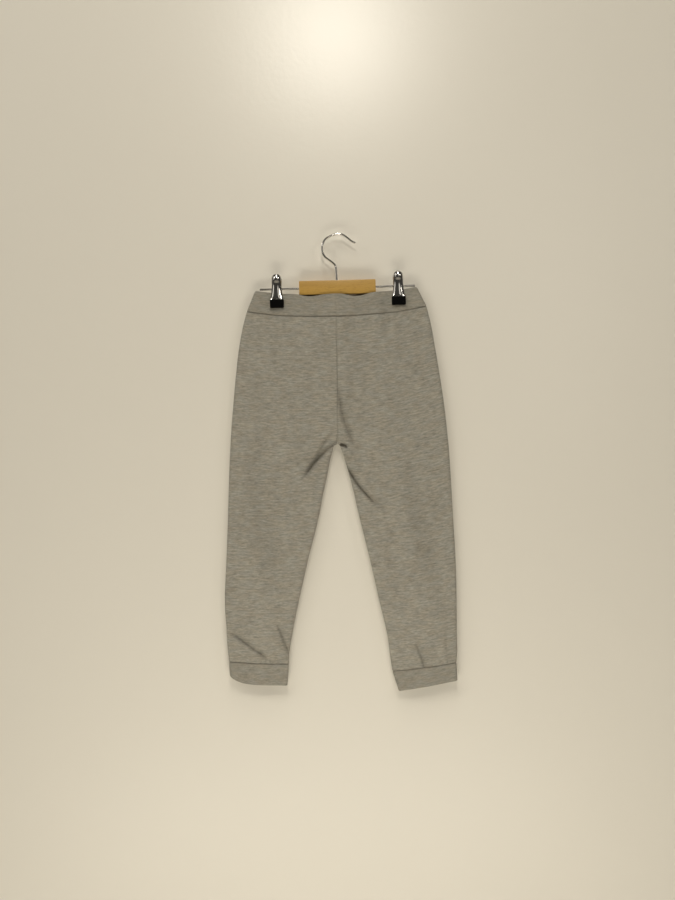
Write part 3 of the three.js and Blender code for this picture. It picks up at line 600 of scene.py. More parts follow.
def wall_paint():
    """Pale satin paint that shows only from the front, so that the back can be seen through it."""
    material, tree, shader = new_material(
        "wall_paint",
        {"Base Color": (0.74, 0.707, 0.631, 1), "Roughness": 0.27, "Specular IOR Level": 0.7},
    )
    grain = noise(tree, object_place(tree), 140.0, 3.0)
    tree.links.new(bump(tree, grain, 0.12, 0.0008), shader.inputs["Normal"])
    clear = add_node(tree, "ShaderNodeBsdfTransparent")
    facing = add_node(tree, "ShaderNodeNewGeometry")
    mixed = add_node(
        tree,
        "ShaderNodeMixShader",
        {0: facing.outputs["Backfacing"], 1: shader.outputs[0], 2: clear.outputs[0]},
    )
    tree.links.new(mixed.outputs[0], tree.nodes["Material Output"].inputs["Surface"])
    return material


def chrome_material():
    """Bright plate with a faint haze and fine rubbed marks."""
    material, tree, shader = new_material(
        "chrome", {"Base Color": (0.78, 0.77, 0.75, 1), "Metallic": 1.0}
    )
    marks = stretched_noise(tree, object_place(tree), 0.004, 0.0012, 3)
    rough = add_node(tree, "ShaderNodeMapRange", {"Value": marks, "To Min": 0.07, "To Max": 0.2})
    tree.links.new(rough.outputs[0], shader.inputs["Roughness"])
    return material


def wood_material():
    """Pale lacquered wood with its grain along the plate, and painted shade along its hidden lower
    edge.
    """
    material, tree, shader = new_material(
        "wood", {"Roughness": 0.38, "Coat Weight": 0.25, "Coat Roughness": 0.2}
    )
    place = object_place(tree)
    broad = add_node(tree, "ShaderNodeMapping", {"Vector": place, "Scale": (9, 160, 160)})
    fine = add_node(tree, "ShaderNodeMapping", {"Vector": place, "Scale": (160, 2600, 2600)})
    wander = noise(tree, broad.outputs[0], 1.0, 4.0)
    pores = noise(tree, fine.outputs[0], 1.0, 2.0)
    grain = mix_colours(tree, wander, WOOD_COLOURS["brown"], WOOD_COLOURS["pale"])
    is_pore = math_node(tree, "GREATER_THAN", pores, 0.64)
    flecked = mix_colours(tree, is_pore, grain, WOOD_COLOURS["pore"])
    # painted shade: the plate's lowest half millimetre turns near black, as in shadow above the cloth
    level = add_node(tree, "ShaderNodeSeparateXYZ", {"Vector": place}).outputs["Z"]
    bottom = (PLATE["top"] - PLATE["height"]) * MM
    low = add_node(
        tree,
        "ShaderNodeMapRange",
        {"Value": level, "From Min": bottom + 0.45 * MM, "From Max": bottom + 0.15 * MM},
    )
    edge_shaded = mix_colours(tree, low.outputs[0], flecked, WOOD_COLOURS["edge"])
    tree.links.new(edge_shaded, shader.inputs["Base Color"])
    tree.links.new(bump(tree, pores, 0.2, 0.0002), shader.inputs["Normal"])
    return material


def rubber_material():
    """Matt black rubber with a fine moulded grain."""
    material, tree, shader = new_material("rubber", {"Roughness": 0.68, "Specular IOR Level": 0.04})
    grain = noise(tree, object_place(tree), 1800.0, 2.0)
    shade = mix_colours(tree, grain, (0.001, 0.001, 0.001, 1), (0.004, 0.004, 0.004, 1))
    tree.links.new(shade, shader.inputs["Base Color"])
    tree.links.new(bump(tree, grain, 0.35, 0.0003), shader.inputs["Normal"])
    return material


# Cloth forms, in millimetres


def ease(value):
    share = np.clip(value, 0, 1)
    return share * share * (3 - 2 * share)


def sections_at(side, levels):
    """The leg tube's section at each level, as columns of numbers, by smooth interpolation."""
    columns = zip(SECTION_COLUMNS, zip(*SECTIONS[side]))
    table = {key: np.array(column, float) for key, column in columns}
    level = table["level"]
    last = len(level) - 1
    i = np.clip(np.searchsorted(-level, -levels, side="right") - 1, 0, last - 1)
    span = level[i + 1] - level[i]
    t = np.clip((levels - level[i]) / span, 0, 1)
    row = np.arange(last + 1)
    before, after = np.maximum(row - 1, 0), np.minimum(row + 1, last)
    found = {"level": levels[:, None]}
    for key in SECTION_COLUMNS[1:]:
        value = table[key]
        slope = (value[after] - value[before]) / (level[after] - level[before])
        smooth = value[i] + (value[i + 1] - value[i]) * ease(t)
        smooth += ((t**3 - 2 * t**2 + t) * slope[i] + (t**3 - t**2) * slope[i + 1]) * span
        if key == "x_in":
            straight = np.abs(level[i] - CROTCH_LEVEL) < CROTCH_STRAIGHT
            smooth = np.where(straight, value[i] + (value[i + 1] - value[i]) * t, smooth)
        found[key] = smooth[:, None]
    return found


def pinch_at(x, z):
    """How strongly the clips draw the two layers together, from 0 to 1."""
    foot = BOOT["top"] - BOOT["height"]
    down = np.where(z > foot, 1.0, ease(1 - (foot - z) / PINCH["below"]))
    across = np.max([np.exp(-(((x - at) / PINCH["spread_x"]) ** 2)) for at in CLIP_X.values()], axis=0)
    return ease(across * PINCH["hold"]) * down


def creases_at(face, x, z):
    """How far the creases of one face sink into the cloth."""
    sunk = np.zeros_like(x)
    for crease in rows_of(CREASES[face], CREASE_COLUMNS):
        along = np.array((crease["to_x"] - crease["x"], crease["to_z"] - crease["z"]), float)
        length = np.hypot(*along)
        from_x, from_z = x - crease["x"], z - crease["z"]
        t = (from_x * along[0] + from_z * along[1]) / length**2
        aside = (from_x * along[1] - from_z * along[0]) / length
        aside -= crease["bow"] * np.sin(np.pi * np.clip(t, 0, 1))
        fade = ease((t + FOLD_FADE / 2) / FOLD_FADE) * ease((1 + FOLD_FADE / 2 - t) / FOLD_FADE)
        reach = np.where(aside > 0, crease["right"], crease["left"])
        soft = np.exp(-((aside / reach) ** 2))
        sharp = np.exp(-np.abs(aside) / (SHARP_REACH * reach))
        sunk += crease["depth"] * fade * (soft + (sharp - soft) * crease["edge"])
    return sunk


def waves_at(face, x, z):
    """Slow waves of the hanging cloth, different on the two faces."""
    height = np.zeros_like(x)
    for wave in rows_of(WAVES, WAVE_COLUMNS):
        phase = wave["phase"] + (0 if face == "front" else BACK_PHASE)
        height += wave["height"] * np.sin(2 * np.pi * (x * wave["across"] + z * wave["down"]) + phase)
    return height


def gathers_at(kind, x, from_seam):
    """How high the gathers along a seam stand."""
    height, reach, width = GATHERS[kind]
    wander = sum(amount * np.sin(x / span + phase) for amount, span, phase in GATHER_WANDER)
    ripple = np.sin(2 * np.pi * x / width + wander) * (0.7 + 0.3 * np.sin(x / 23 + 0.5))
    return height * np.exp(-np.maximum(from_seam, 0) / reach) * ripple


def half_depth(section, leg_share, x, z):
    """Half the depth of the flattened tube, before its inner end is rolled in."""
    t = np.clip((x - section["x_out"]) / (section["x_in"] - section["x_out"]), 0, 1)
    body = ease(t / BODY_PLATEAU)
    leg = ease(1 - np.abs(2 * t - 1))
    swell = body + (leg - body) * leg_share
    free = section["roll"] + (section["bulge"] - section["roll"]) * swell
    return free + (PINCH["half"] - free) * pinch_at(x, z)


def outward_normals(points):
    """Unit normals of a grid of points, all facing away from the plane y = 0."""
    normals = np.cross(np.gradient(points, axis=0), np.gradient(points, axis=1))
    normals /= np.maximum(np.linalg.norm(normals, axis=2, keepdims=True), 1e-9)
    i, j = points.shape[0] // 2, points.shape[1] // 2
    return -normals if normals[i, j, 1] * points[i, j, 1] < 0 else normals


def sink_at_seam(kind, from_seam):
    depth, reach = SEAM_SINK[kind]
    return depth * np.clip(1 - from_seam / reach, 0, 1) ** 2


# Painted shade along a seam: darkest at the seam, fading out over its reach
def painted_shade_at_seam(kind, from_seam):
    share, reach = SEAM_PAINTED_SHADE[kind]
    return share * np.clip(1 - from_seam / reach, 0, 1) ** SEAM_PAINTED_SHADE_CURVE


def panel_levels(side):
    """The levels of a panel's rows, closer together at the crotch and at the two seams."""
    top, bottom = SECTIONS[side][0][0], SECTIONS[side][-1][0]
    even = np.linspace(top, bottom, round((top - bottom) / CLOTH_STEP) + 1)
    near = np.linspace(0, 1, 5)[:-1] ** 1.4 * SEAM_SINK["waist"][1]
    crotch = CROTCH_LEVEL + np.linspace(0, 1, 9) ** 2 * CROTCH_RISE / 2
    below = CROTCH_LEVEL - np.linspace(0.4, 3, 6)
    levels = np.concatenate([even, top - near, bottom + near, crotch, below])
    levels = np.clip(levels, bottom + SLIT / 2, top - SLIT / 2)
    return np.unique(np.round(levels, 2))[::-1]


def panel_grid(side, face):
    """Outer points and UV coordinates of a leg panel, row by row from the side to the centre."""
    levels = panel_levels(side)
    section = sections_at(side, levels)
    level, roll = section["level"], section["roll"]
    x_out, x_in = section["x_out"], section["x_in"]
    to_in = 1 if side == "left" else -1
    leg_share = ease((LEG_SPLIT_START - level) / (LEG_SPLIT_START - CROTCH_LEVEL))
    turn = np.arcsin(np.clip((CROTCH_LEVEL + CROTCH_RISE - level) / CROTCH_RISE, 0, 1))
    curve = np.where(level > CROTCH_LEVEL, BODY_SEAM_CURVE, LEG_SEAM_CURVE)
    width = np.max(np.abs(x_in - x_out))
    angle = np.linspace(0, np.pi / 2, ROLL_STEPS + 1)[None, :-1]
    middle = np.linspace(0, 1, round(width / CLOTH_STEP) + 1)[None, :]
    share = np.linspace(0, 1, ROLL_STEPS + 1)[None, 1:]
    start, end = x_out + to_in * roll, x_in - to_in * (roll + SLIT / 2)
    inner_turn = turn * share
    across = np.where(turn > 0, np.sin(inner_turn) / np.sin(np.maximum(turn, 1e-6)), share)
    outer_roll, inner_roll = x_out + to_in * roll * (1 - np.cos(angle)), end + to_in * roll * across
    x = np.hstack([outer_roll, start + (end - start) * middle, inner_roll])
    z = level + section["lift"] * np.clip((x_in - x) / (x_in - x_out), 0, 1) ** curve
    depth = half_depth(section, leg_share, x, z)
    first, final = ROLL_STEPS, ROLL_STEPS + middle.shape[1]
    depth[:, :first] = roll * np.sin(angle)
    depth[:, final:] *= np.cos(inner_turn)
    room = np.maximum(depth - roll * FOLD_FLOOR, 0)
    creases = creases_at(face, x, z)
    sunk = np.minimum(creases, room) * np.clip(depth / roll, 0, 1)
    y = FACES[face] * np.maximum(depth - sunk, SLIT / 2)
    points = np.stack([x, y, z], axis=2)

    steps = np.linalg.norm(np.diff(points, axis=1), axis=2)
    from_side = np.hstack([np.zeros((len(levels), 1)), np.cumsum(steps, axis=1)])
    from_centre = from_side[:, -1:] - from_side
    from_waist = SECTIONS[side][0][0] - level
    from_cuff = level - SECTIONS[side][-1][0]
    in_rolls = np.clip(depth / roll, 0, 1)
    height = waves_at(face, x, z) * ease(from_waist / WAVE_FADE["waist"])
    height = height * ease(from_cuff / WAVE_FADE["cuff"]) * (1 - pinch_at(x, z))
    height += gathers_at("waist", x, from_waist)
    height += gathers_at("cuff", x, from_cuff)
    height *= in_rolls**2
    height -= sink_at_seam("side", from_side)
    height -= sink_at_seam("centre", from_centre) * np.cos(turn) ** 2
    height -= sink_at_seam("waist", from_waist) * in_rolls
    height -= sink_at_seam("cuff", from_cuff) * in_rolls
    points = points + outward_normals(points) * height[:, :, None]
    points[:, :, 1] = FACES[face] * np.maximum(FACES[face] * points[:, :, 1], SLIT / 2)
    # painted shade: darker in deep creases and along the seams
    painted_shade = np.clip(creases / PAINTED_SHADE_DEPTH, 0, 1) ** CREASE_PAINTED_SHADE_CURVE
    painted_shade = np.maximum(painted_shade, painted_shade_at_seam("centre", from_centre) * np.cos(turn))
    for kind, distance in (("side", from_side), ("waist", from_waist), ("cuff", from_cuff)):
        painted_shade = np.maximum(painted_shade, painted_shade_at_seam(kind, distance))
    slant_at, slant = np.array(ROW_SLANT[side][::-1], float).T
    outward = np.clip((x_in - x) / (x_in - x_out), 0, 1)
    rows = level + np.interp(level, slant_at, slant) * outward**2
    uv = np.stack([to_in * from_centre, rows], axis=2)
    return points, uv, painted_shade


def mesh_object(name, points, faces, uv, painted_shade, material):
    """A smooth mesh from points and UV coordinates in millimetres, with its faces pointing out."""
    mesh = bpy.data.meshes.new(name)
    mesh.from_pydata((points * MM).tolist(), [], faces.tolist())
    corners = points[faces]
    spanned = np.cross(corners[:, 1] - corners[:, 0], corners[:, 2] - corners[:, 0])
    spanned += np.cross(corners[:, 2] - corners[:, 0], corners[:, 3] - corners[:, 0])
    if (corners.mean(axis=1) * spanned).sum() < 0:
        mesh.flip_normals()
    layer = mesh.uv_layers.new(name="cloth")
    loop_points = np.zeros(len(mesh.loops), np.int32)
    mesh.loops.foreach_get("vertex_index", loop_points)
    layer.data.foreach_set("uv", (uv[loop_points] * MM).astype(np.float32).ravel())
    # each point's painted shade, which the cloth's material reads
    shade = mesh.attributes.new("painted_shade", "FLOAT", "POINT")
    shade.data.foreach_set("value", painted_shade.astype(np.float32))
    mesh.materials.append(material)
    return smooth(new_object(name, mesh), 50)


def ring_quads(rows, columns, closed_rows):
    """Quads of a grid whose columns close into a ring, and whose rows do too if asked."""
    i = np.arange(rows if closed_rows else rows - 1)[:, None]
    j = np.arange(columns)[None, :]
    below, beside = (i + 1) % rows, (j + 1) % columns
    corners = [i * columns + j, below * columns + j, below * columns + beside, i * columns + beside]
    return np.stack(np.broadcast_arrays(*corners), axis=2).reshape(-1, 4)


def leg_panel(side, face):
    """A leg panel: a wall of jersey, closed round its four edges."""
    outer, uv, painted_shade = panel_grid(side, face)
    inner = outer - outward_normals(outer) * JERSEY_WALL
    inner[:, :, 1] = FACES[face] * np.maximum(FACES[face] * inner[:, :, 1], SLIT / 2)
    within = np.minimum if side == "left" else np.maximum
    inner[:, :, 0] = within(inner[:, :, 0], outer[:, -1:, 0])
    inner[0, :, 2], inner[-1, :, 2] = outer[0, :, 2], outer[-1, :, 2]
    rows, columns = outer.shape[:2]
    loops = np.concatenate([outer, inner[:, ::-1]], axis=1)
    loops_uv = np.concatenate([uv, uv[:, ::-1]], axis=1).reshape(-1, 2)
    painted_shades = np.concatenate([painted_shade, painted_shade[:, ::-1]], axis=1).ravel()
    faces = ring_quads(rows, 2 * columns, False)
    j = np.arange(columns - 1)
    caps = []
    for row, turned in ((0, False), (rows - 1, True)):
        base = row * 2 * columns
        cap = [base + j, base + j + 1, base + 2 * columns - 2 - j, base + 2 * columns - 1 - j]
        caps.append(np.stack(cap[::-1] if turned else cap, axis=1))
    faces = np.concatenate([faces, *caps])
    name = f"leg_{face}_{side}"
    return mesh_object(name, loops.reshape(-1, 3), faces, loops_uv, painted_shades, JERSEY_CLOTH)


def folded_ring(name, outer, wall, folded_first, seam_column):
    """Cloth folded double into a ring: an outer wall, a rounded folded edge and an inner wall."""
    normals = outward_normals(outer)
    normals[:, :, 2] = 0
    normals /= np.linalg.norm(normals, axis=2, keepdims=True)
    if not folded_first:
        outer, normals = outer[::-1], normals[::-1]
    girth = outer[len(outer) // 2]
    steps = np.linalg.norm(np.diff(girth, axis=0, append=girth[:1]), axis=1)
    along, round_about = np.concatenate([[0], np.cumsum(steps)[:-1]]), steps.sum()
    ribs = round(round_about / RIB["pitch"])
    ribbing = RIB["height"] * np.cos(2 * np.pi * ribs * along / round_about)
    from_fold = np.linalg.norm(outer - outer[:1], axis=2)
    from_sewn_edge = from_fold[-1:] - from_fold
    from_seam = np.abs(along - along[seam_column])
    from_seam = np.minimum(from_seam, round_about - from_seam)
    out = (ribbing - sink_at_seam("side", from_seam))[None, :] - sink_at_seam("waist", from_sewn_edge)
    edge_up = np.sign(outer[0, :, 2] - outer[1, :, 2])[:, None] * np.array([0, 0, 1.0])
    radius = wall / 2
    from_edge = np.clip(from_fold / (2 * radius), 0, 1)
    shift = -radius * (1 - from_edge) ** 2
    shaped = outer + normals * out[:, :, None] + edge_up[None] * shift[:, :, None]
    centre = shaped[:1] - normals[:1] * radius
    rounds = []
    for angle in np.linspace(0, np.pi, FOLD_TURNS + 1)[1:-1]:
        out_by, up_by = radius * np.cos(angle), radius * np.sin(angle)
        rounds.append(centre + normals[:1] * out_by + edge_up[None] * up_by)
    inner = shaped[::INNER_ROWS] - normals[::INNER_ROWS] * wall
    profile = np.concatenate([shaped[::-1], *rounds, inner])
    rows, columns = profile.shape[:2]
    lengths = np.linalg.norm(np.diff(profile[:, 0], axis=0), axis=1)
    v = np.concatenate([[0], np.cumsum(lengths)])
    uv = np.stack(np.broadcast_arrays(along[None, :], v[:, None]), axis=2)
    faces = ring_quads(rows, columns, True)
    # painted shade along the sewn edge and the side seam
    painted_shade = np.zeros((rows, columns))
    at_edge = painted_shade_at_seam("waist", from_sewn_edge)
    painted_shade[: len(shaped)] = np.maximum(at_edge, painted_shade_at_seam("side", from_seam)[None, :])[::-1]
    # the inner wall gets painted shade, as if it lay in the shade inside the fold
    painted_shade[len(shaped) + len(rounds) // 2 :] = INSIDE_SHADE
    points, uv = profile.reshape(-1, 3), uv.reshape(-1, 2)
    return mesh_object(name, points, faces, uv, painted_shade.ravel(), RIB_CLOTH)


def ring_row(stations, roll, depth_at, height_at, steps):
    """One row of a flattened ring, round from the front's left end: front, right, back, left."""
    low, high = stations
    x_front = np.linspace(low, high, steps + 1)
    turn = np.linspace(0, np.pi, 4 * ROLL_STEPS + 1)[1:-1]
    right_x, left_x = high + roll * np.sin(turn), low - roll * np.sin(turn)
    x = np.concatenate([x_front, right_x, x_front[::-1], left_x])
    depth = depth_at(x_front)
    y = np.concatenate([-depth, -roll * np.cos(turn), depth[::-1], roll * np.cos(turn)])
    return np.stack([x, y, height_at(x, y < 0)], axis=1)


def waistband():
    left, right = [rows_of(SECTIONS[side], SECTION_COLUMNS)[0] for side in SIDES]
    seam_x, roll = left["x_in"], left["roll"]

    def share_of(x, low, high):
        return np.clip(np.abs(x - seam_x) / np.where(x < seam_x, seam_x - low, high - seam_x), 0, 1)

    def top_at(x):
        share = share_of(x, WAIST_TOP["left"], WAIST_TOP["right"])
        off = x - seam_x
        drape = BAND_DRAPE["height"] * np.cos(off / BAND_DRAPE["ripple"])
        drape *= np.exp(-((off / BAND_DRAPE["reach"]) ** 2))
        return WAIST_TOP["level"] - WAIST_TOP["sag"] * (1 - share ** WAIST_TOP["sharpness"]) + drape

    def dip_at(x):
        dip = np.zeros_like(x)
        for place in rows_of(FRONT_DIPS, DIP_COLUMNS):
            off = np.clip(np.abs(x - place["x"]) / place["half"], 0, 1)
            dip += place["depth"] / 2 * (1 + np.cos(np.pi * off))
        return dip

    def seam_at(x):
        share = share_of(x, left["x_out"], right["x_out"])
        lift = np.where(x < seam_x, left["lift"], right["lift"])
        return left["level"] + lift * share**BODY_SEAM_CURVE + SLIT / 2

    rows = []
    for down in BAND_ROWS:
        low = WAIST_TOP["left"] + (left["x_out"] - WAIST_TOP["left"]) * down
        high = WAIST_TOP["right"] + (right["x_out"] - WAIST_TOP["right"]) * down

        def height_at(x, in_front):
            top = top_at(x) - dip_at(x) * in_front
            return top + (seam_at(x) - top) * down

        def depth_at(x):
            in_from_end = np.minimum(x - low, high - x) / (high - low)
            free = roll + (left["bulge"] - roll) * ease(in_from_end / BAND_SWELL)
            return free + (PINCH["half"] - free) * pinch_at(x, height_at(x, False))

        rows.append(ring_row((low + roll, high - roll), roll, depth_at, height_at, BAND_STEPS))
    outer = np.stack(rows)
    seam_column = int(np.argmin(np.abs(outer[-1, : BAND_STEPS + 1, 0] - seam_x)))
    return folded_ring("rib_band", outer, BAND_WALL, True, seam_column)


def cuff(side):
    top = rows_of(SECTIONS[side], SECTION_COLUMNS)[-1]
    shape = CUFFS[side]
    rows = []
    for down in CUFF_ROWS:
        x_in = top["x_in"] + (shape["hem_in"] - top["x_in"]) * down
        x_out = top["x_out"] + (shape["hem_out"] - top["x_out"]) * down

        def share_of(x):
            return np.clip((x - x_in) / (x_out - x_in), 0, 1)

        def height_at(x, _in_front):
            t = share_of(x)
            seam = top["level"] + top["lift"] * t**LEG_SEAM_CURVE - SLIT / 2
            hem = top["level"] - shape["drop"] + shape["hem_lift"] * t
            hem += shape["curl"] * t**HEM_CURL_CURVE
            return seam + (hem - seam) * down

        def depth_at(x):
            swell = ease(1 - np.abs(2 * share_of(x) - 1))
            ripple = CUFF_RIPPLE["height"] * np.sin(x / CUFF_RIPPLE["length"] + 1) * (1 - down)
            return CUFF_ROLL + (shape["bulge"] - CUFF_ROLL) * swell + ripple * swell

        low, high = min(x_in, x_out) + CUFF_ROLL, max(x_in, x_out) - CUFF_ROLL
        rows.append(ring_row((low, high), CUFF_ROLL, depth_at, height_at, CUFF_STEPS))
    outer = np.stack(rows)
    left_end, right_end = outer.shape[1] - 2 * ROLL_STEPS, CUFF_STEPS + 1 + 2 * ROLL_STEPS
    inseam_column = left_end if side == "right" else right_end
    return folded_ring(f"rib_cuff_{side}", outer, CUFF_WALL, False, inseam_column)


# The hanger, shaped as by hand from primitives


def select_only(*objects):
    bpy.ops.object.select_all(action="DESELECT")
    for each in objects:
        each.select_set(True)
    bpy.context.view_layer.objects.active = objects[0]


def named(name):
    """The object just added, under a name of its own, with its place in its mesh."""
    made = bpy.context.object
    made.name = made.data.name = name
    bpy.ops.object.transform_apply(location=True, rotation=True, scale=True)
    return made


def select_where(made, kind, test):
    """Selects the vertices, edges or faces of a mesh in edit mode whose middle passes a test."""
    bpy.ops.mesh.select_mode(type=kind)
    bpy.ops.mesh.select_all(action="DESELECT")
    shape = bmesh.from_edit_mesh(made.data)
    for part in {"VERT": shape.verts, "EDGE": shape.edges, "FACE": shape.faces}[kind]:
        corners = [part] if kind == "VERT" else part.verts
        middle = sum((corner.co for corner in corners), Vector()) / len(corners)
        part.select_set(test(middle / MM))
    shape.select_flush_mode()
    bmesh.update_edit_mesh(made.data)


def finish_edit():
    """Turns all faces of the mesh out and leaves edit mode."""
    bpy.ops.mesh.select_all(action="SELECT")
    bpy.ops.mesh.normals_make_consistent(inside=False)
    bpy.ops.object.mode_set(mode="OBJECT")


def apply_modifier(made, kind, **settings):
    select_only(made)
    modifier = made.modifiers.new(kind.lower(), kind)
    for key, value in settings.items():
        setattr(modifier, key, value)
    bpy.ops.object.modifier_apply(modifier=modifier.name)


def cut_with(made, cutter):
    apply_modifier(made, "BOOLEAN", object=cutter, operation="DIFFERENCE", solver="EXACT")
    bpy.data.objects.remove(cutter)


def block(name, place, size):
    place, size = [tuple(value * MM for value in values) for values in (place, size)]
    bpy.ops.mesh.primitive_cube_add(size=1, location=place, scale=size)
    return named(name)


def rod_along_x(name, radius, length, x):
    bpy.ops.mesh.primitive_cylinder_add(
        vertices=32,
        radius=radius * MM,
        depth=length * MM,
        location=(x * MM, 0, BAR_LEVEL * MM),
        rotation=(0, math.pi / 2, 0),
    )
    return named(name)


def smooth(made, degrees=40):
    select_only(made)
    bpy.ops.object.shade_smooth_by_angle(angle=math.radians(degrees))
    return made


def hanger_hook():
    """The wire hook: a curve along the hook's line, turned into a mesh with a rounded tip."""
    bpy.ops.curve.primitive_bezier_curve_add(location=(0, 0, 0))
    curve = bpy.context.object
    spline = curve.data.splines[0]
    spline.bezier_points.add(len(HOOK_LINE) - 2)
    for point, (x, z) in zip(spline.bezier_points, HOOK_LINE):
        point.co = (x * MM, 0, z * MM)
        point.handle_left_type = point.handle_right_type = "AUTO"
    curve.data.dimensions = "3D"
    curve.data.resolution_u = 8
    curve.data.bevel_depth = WIRE_R * MM
    curve.data.bevel_resolution = 6
    curve.data.use_fill_caps = True
    bpy.ops.object.convert(target="MESH")
    hook = named("hook_wire")
    select_only(hook)
    bpy.ops.object.mode_set(mode="EDIT")
    bpy.ops.mesh.select_all(action="SELECT")
    bpy.ops.mesh.remove_doubles(threshold=1e-6)
    tip_x, tip_z = HOOK_LINE[-1]
    select_where(hook, "FACE", lambda p: (p - Vector((tip_x, 0, tip_z))).length < 0.2)
    bpy.ops.mesh.inset(thickness=0.5 * MM)
    finish_edit()
    return smooth(hook, 60)


def hanger_bar():
    """The rod, with its two ends rounded off."""
    bar = rod_along_x("bar_rod", WIRE_R, BAR_LENGTH, CENTRE_X)
    bpy.ops.object.mode_set(mode="EDIT")
    end, rim = BAR_LENGTH / 2 - 0.01, 1

    def on_rim(p):
        return abs(p.x - CENTRE_X) > end and math.hypot(p.y, p.z - BAR_LEVEL) > rim

    select_where(bar, "EDGE", on_rim)
    bpy.ops.mesh.bevel(offset=0.7 * MM, segments=4)
    bpy.ops.object.mode_set(mode="OBJECT")
    return smooth(bar, 30)


def hanger_plate():
    """The wooden plate: a rounded bar of wood, bored for the rod and for the hook's stem."""
    place = (CENTRE_X, 0, PLATE["top"] - PLATE["height"] / 2)
    plate = block("plate_wood", place, (PLATE["width"], PLATE["thick"], PLATE["height"]))
    apply_modifier(plate, "BEVEL", width=PLATE["round"] * MM, segments=4, limit_method="ANGLE")
    cut_with(plate, rod_along_x("bar_bore", WIRE_R + GAP, 2 * PLATE["width"], CENTRE_X))
    bpy.ops.mesh.primitive_cylinder_add(
        vertices=32,
        radius=(WIRE_R + GAP) * MM,
        depth=2 * PLATE["stem"] * MM,
        location=(STEM_X * MM, 0, PLATE["top"] * MM),
    )
    cut_with(plate, named("stem_bore"))
    return smooth(plate, 35)


def clip_arch(name, x, sign):
    """A clip half's arched wall, drawn up section by section from the tongue to the finger tab."""
    sections = rows_of(CLIP_SECTIONS, CLIP_COLUMNS)
    foot = sections[0]
    turn = math.radians(ARCH_TURN)
    chord, rise = 1 / math.tan(turn), math.tan(turn / 2)
    bpy.ops.mesh.primitive_circle_add(vertices=128, radius=MM / math.sin(turn), location=(0, 0, 0))
    arch = named(name)
    bpy.ops.object.mode_set(mode="EDIT")
    select_where(arch, "VERT", lambda p: p.y * sign < chord - 0.01)
    bpy.ops.mesh.delete(type="VERT")
    bpy.ops.mesh.select_all(action="SELECT")
    bpy.ops.transform.translate(value=(0, -sign * chord * MM, 0))
    bpy.ops.transform.resize(value=(foot["half"], foot["crown"] / rise, 1), center_override=(0, 0, 0))
    bpy.ops.transform.translate(value=(x * MM, sign * foot["side"] * MM, foot["z"] * MM))
    for low, high in zip(sections, sections[1:]):
        move = (0, sign * (high["side"] - low["side"]) * MM, (high["z"] - low["z"]) * MM)
        bpy.ops.mesh.extrude_region_move(TRANSFORM_OT_translate={"value": move})
        bpy.ops.transform.resize(
            value=(high["half"] / low["half"], high["crown"] / low["crown"], 1),
            center_override=(x * MM, sign * high["side"] * MM, high["z"] * MM),
        )
    finish_edit()
    if arch.data.polygons[len(arch.data.polygons) // 2].normal.y * sign < 0:
        arch.data.flip_normals()
    apply_modifier(arch, "SUBSURF", levels=1, render_levels=1)
    apply_modifier(arch, "SOLIDIFY", thickness=METAL * MM, offset=-1)
    apply_modifier(arch, "BEVEL", width=0.22 * MM, segments=2, limit_method="ANGLE")
    return arch


def clip_ear(name, x, sign, reach):
    """An ear of a clip half: a round tab on the rod, drawn out to reach its arch."""
    ear = rod_along_x(name, EARS["radius"], EARS["thick"], x)
    bpy.ops.object.mode_set(mode="EDIT")
    select_where(ear, "VERT", lambda p: p.y * sign > 0.01)
    bpy.ops.transform.resize(value=(1, 0, 1), center_override=(x * MM, 0, BAR_LEVEL * MM))
    bpy.ops.transform.translate(value=(0, sign * reach * MM, 0))
    bpy.ops.object.mode_set(mode="OBJECT")
    cut_with(ear, rod_along_x("ear_bore", WIRE_R + GAP, 4 * EARS["thick"], x))
    return ear


def clip_half(side, face):
    """A clip half: its arched wall and its two ears."""
    x, sign = CLIP_X[side], FACES[face]
    aside, reach = EARS[face]
    half = clip_arch(f"clip_half_{side}_{face}", x, sign)
    ears = [clip_ear(f"ear_{end}", x + end * aside, sign, reach) for end in (-1, 1)]
    select_only(half, *ears)
    bpy.ops.object.join()
    return smooth(half, 40)


def clip_boot(side, face):
    """A rubber boot: a rounded block with a slot in its top for the clip's tongue."""
    x, sign = CLIP_X[side], FACES[face]
    place = (x, sign * (BOOT["inner"] + BOOT["thick"] / 2), BOOT["top"] - BOOT["height"] / 2)
    size = (BOOT["width"], BOOT["thick"], BOOT["height"])
    boot = block(f"boot_rubber_{side}_{face}", place, size)
    apply_modifier(boot, "BEVEL", width=BOOT["round"] * MM, segments=4, limit_method="ANGLE")
    slot_place = (x, sign * (SLOT["from"] + SLOT["thick"] / 2), BOOT["top"])
    cut_with(boot, block("slot", slot_place, (SLOT["width"], SLOT["thick"], 2 * SLOT["depth"])))
    return smooth(boot, 35)


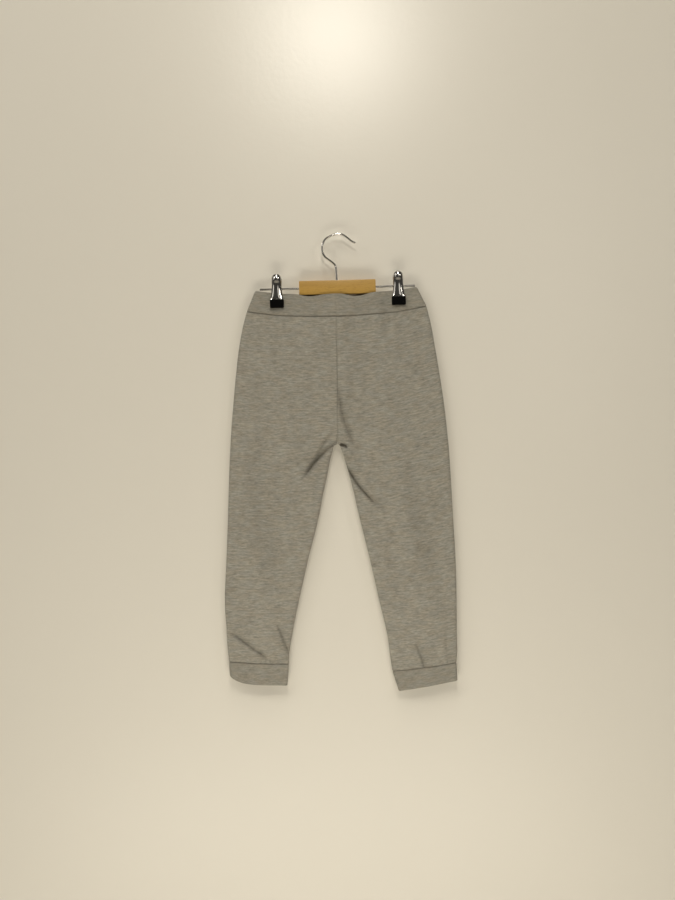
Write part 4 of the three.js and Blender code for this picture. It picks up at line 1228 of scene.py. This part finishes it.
def clip_spring(side):
    """The clip's coiled spring round the rod: a ring of wire swept along a screw."""
    wire, turns = SPRING["wire"], SPRING["turns"]
    pitch = (SPRING["length"] - wire) / turns
    bpy.ops.mesh.primitive_circle_add(
        vertices=12,
        radius=wire / 2 * MM,
        location=(-pitch * turns / 2 * MM, 0, (SPRING["outer"] - wire / 2) * MM),
        rotation=(math.pi / 2, 0, 0),
    )
    coil = named(f"spring_coil_{side}")
    apply_modifier(
        coil,
        "SCREW",
        axis="X",
        angle=2 * math.pi,
        screw_offset=pitch * MM,
        iterations=turns,
        steps=24,
        render_steps=24,
        use_smooth_shade=False,
    )
    bpy.ops.object.mode_set(mode="EDIT")
    bpy.ops.mesh.select_mode(type="EDGE")
    bpy.ops.mesh.select_all(action="DESELECT")
    bpy.ops.mesh.select_non_manifold(extend=False)
    bpy.ops.mesh.fill()
    bpy.ops.mesh.select_all(action="SELECT")
    bpy.ops.transform.translate(value=(CLIP_X[side] * MM, 0, BAR_LEVEL * MM))
    finish_edit()
    return smooth(coil, 50)


# What each piece is made of, stands for and rides on


def dress(piece, node, material=None):
    """Gives a piece its material, if it has none yet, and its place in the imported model."""
    if material:
        piece.data.materials.clear()
        piece.data.materials.append(material)
    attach(piece, "root")
    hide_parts(node)


make_camera()
make_wall()
make_lights()
MELANGE = melange_group()
STITCHES = stitch_group()
JERSEY_CLOTH = cloth_material(
    "jersey",
    dark=(0.13, 0.124, 0.103, 1),
    light=(0.468, 0.445, 0.381, 1),
    contrast=2.05,
    wale=0.0012,
    course=0.001,
    stitch_depth=0.5,
)
RIB_CLOTH = cloth_material(
    "rib",
    dark=(0.125, 0.119, 0.099, 1),
    light=(0.427, 0.405, 0.345, 1),
    contrast=1.8,
    wale=0.00095,
    course=0.0009,
    stitch_depth=0.4,
)
CHROME = chrome_material()
WOOD = wood_material()
RUBBER = rubber_material()

band = waistband()
dress(band, "waistband")
for side in SIDES:
    for face in FACES:
        panel = leg_panel(side, face)
        dress(panel, f"{face}_{side}")
    ankle = cuff(side)
    dress(ankle, f"cuff_{side}")

dress(hanger_hook(), "hanger_hook", CHROME)
dress(hanger_bar(), "hanger_bar", CHROME)
dress(hanger_plate(), "hanger_plate", WOOD)
for side in SIDES:
    for face in FACES:
        dress(clip_half(side, face), f"clip_{side}_{face}", CHROME)
        dress(clip_boot(side, face), f"boot_{side}_{face}", RUBBER)
    dress(clip_spring(side), f"spring_{side}", CHROME)
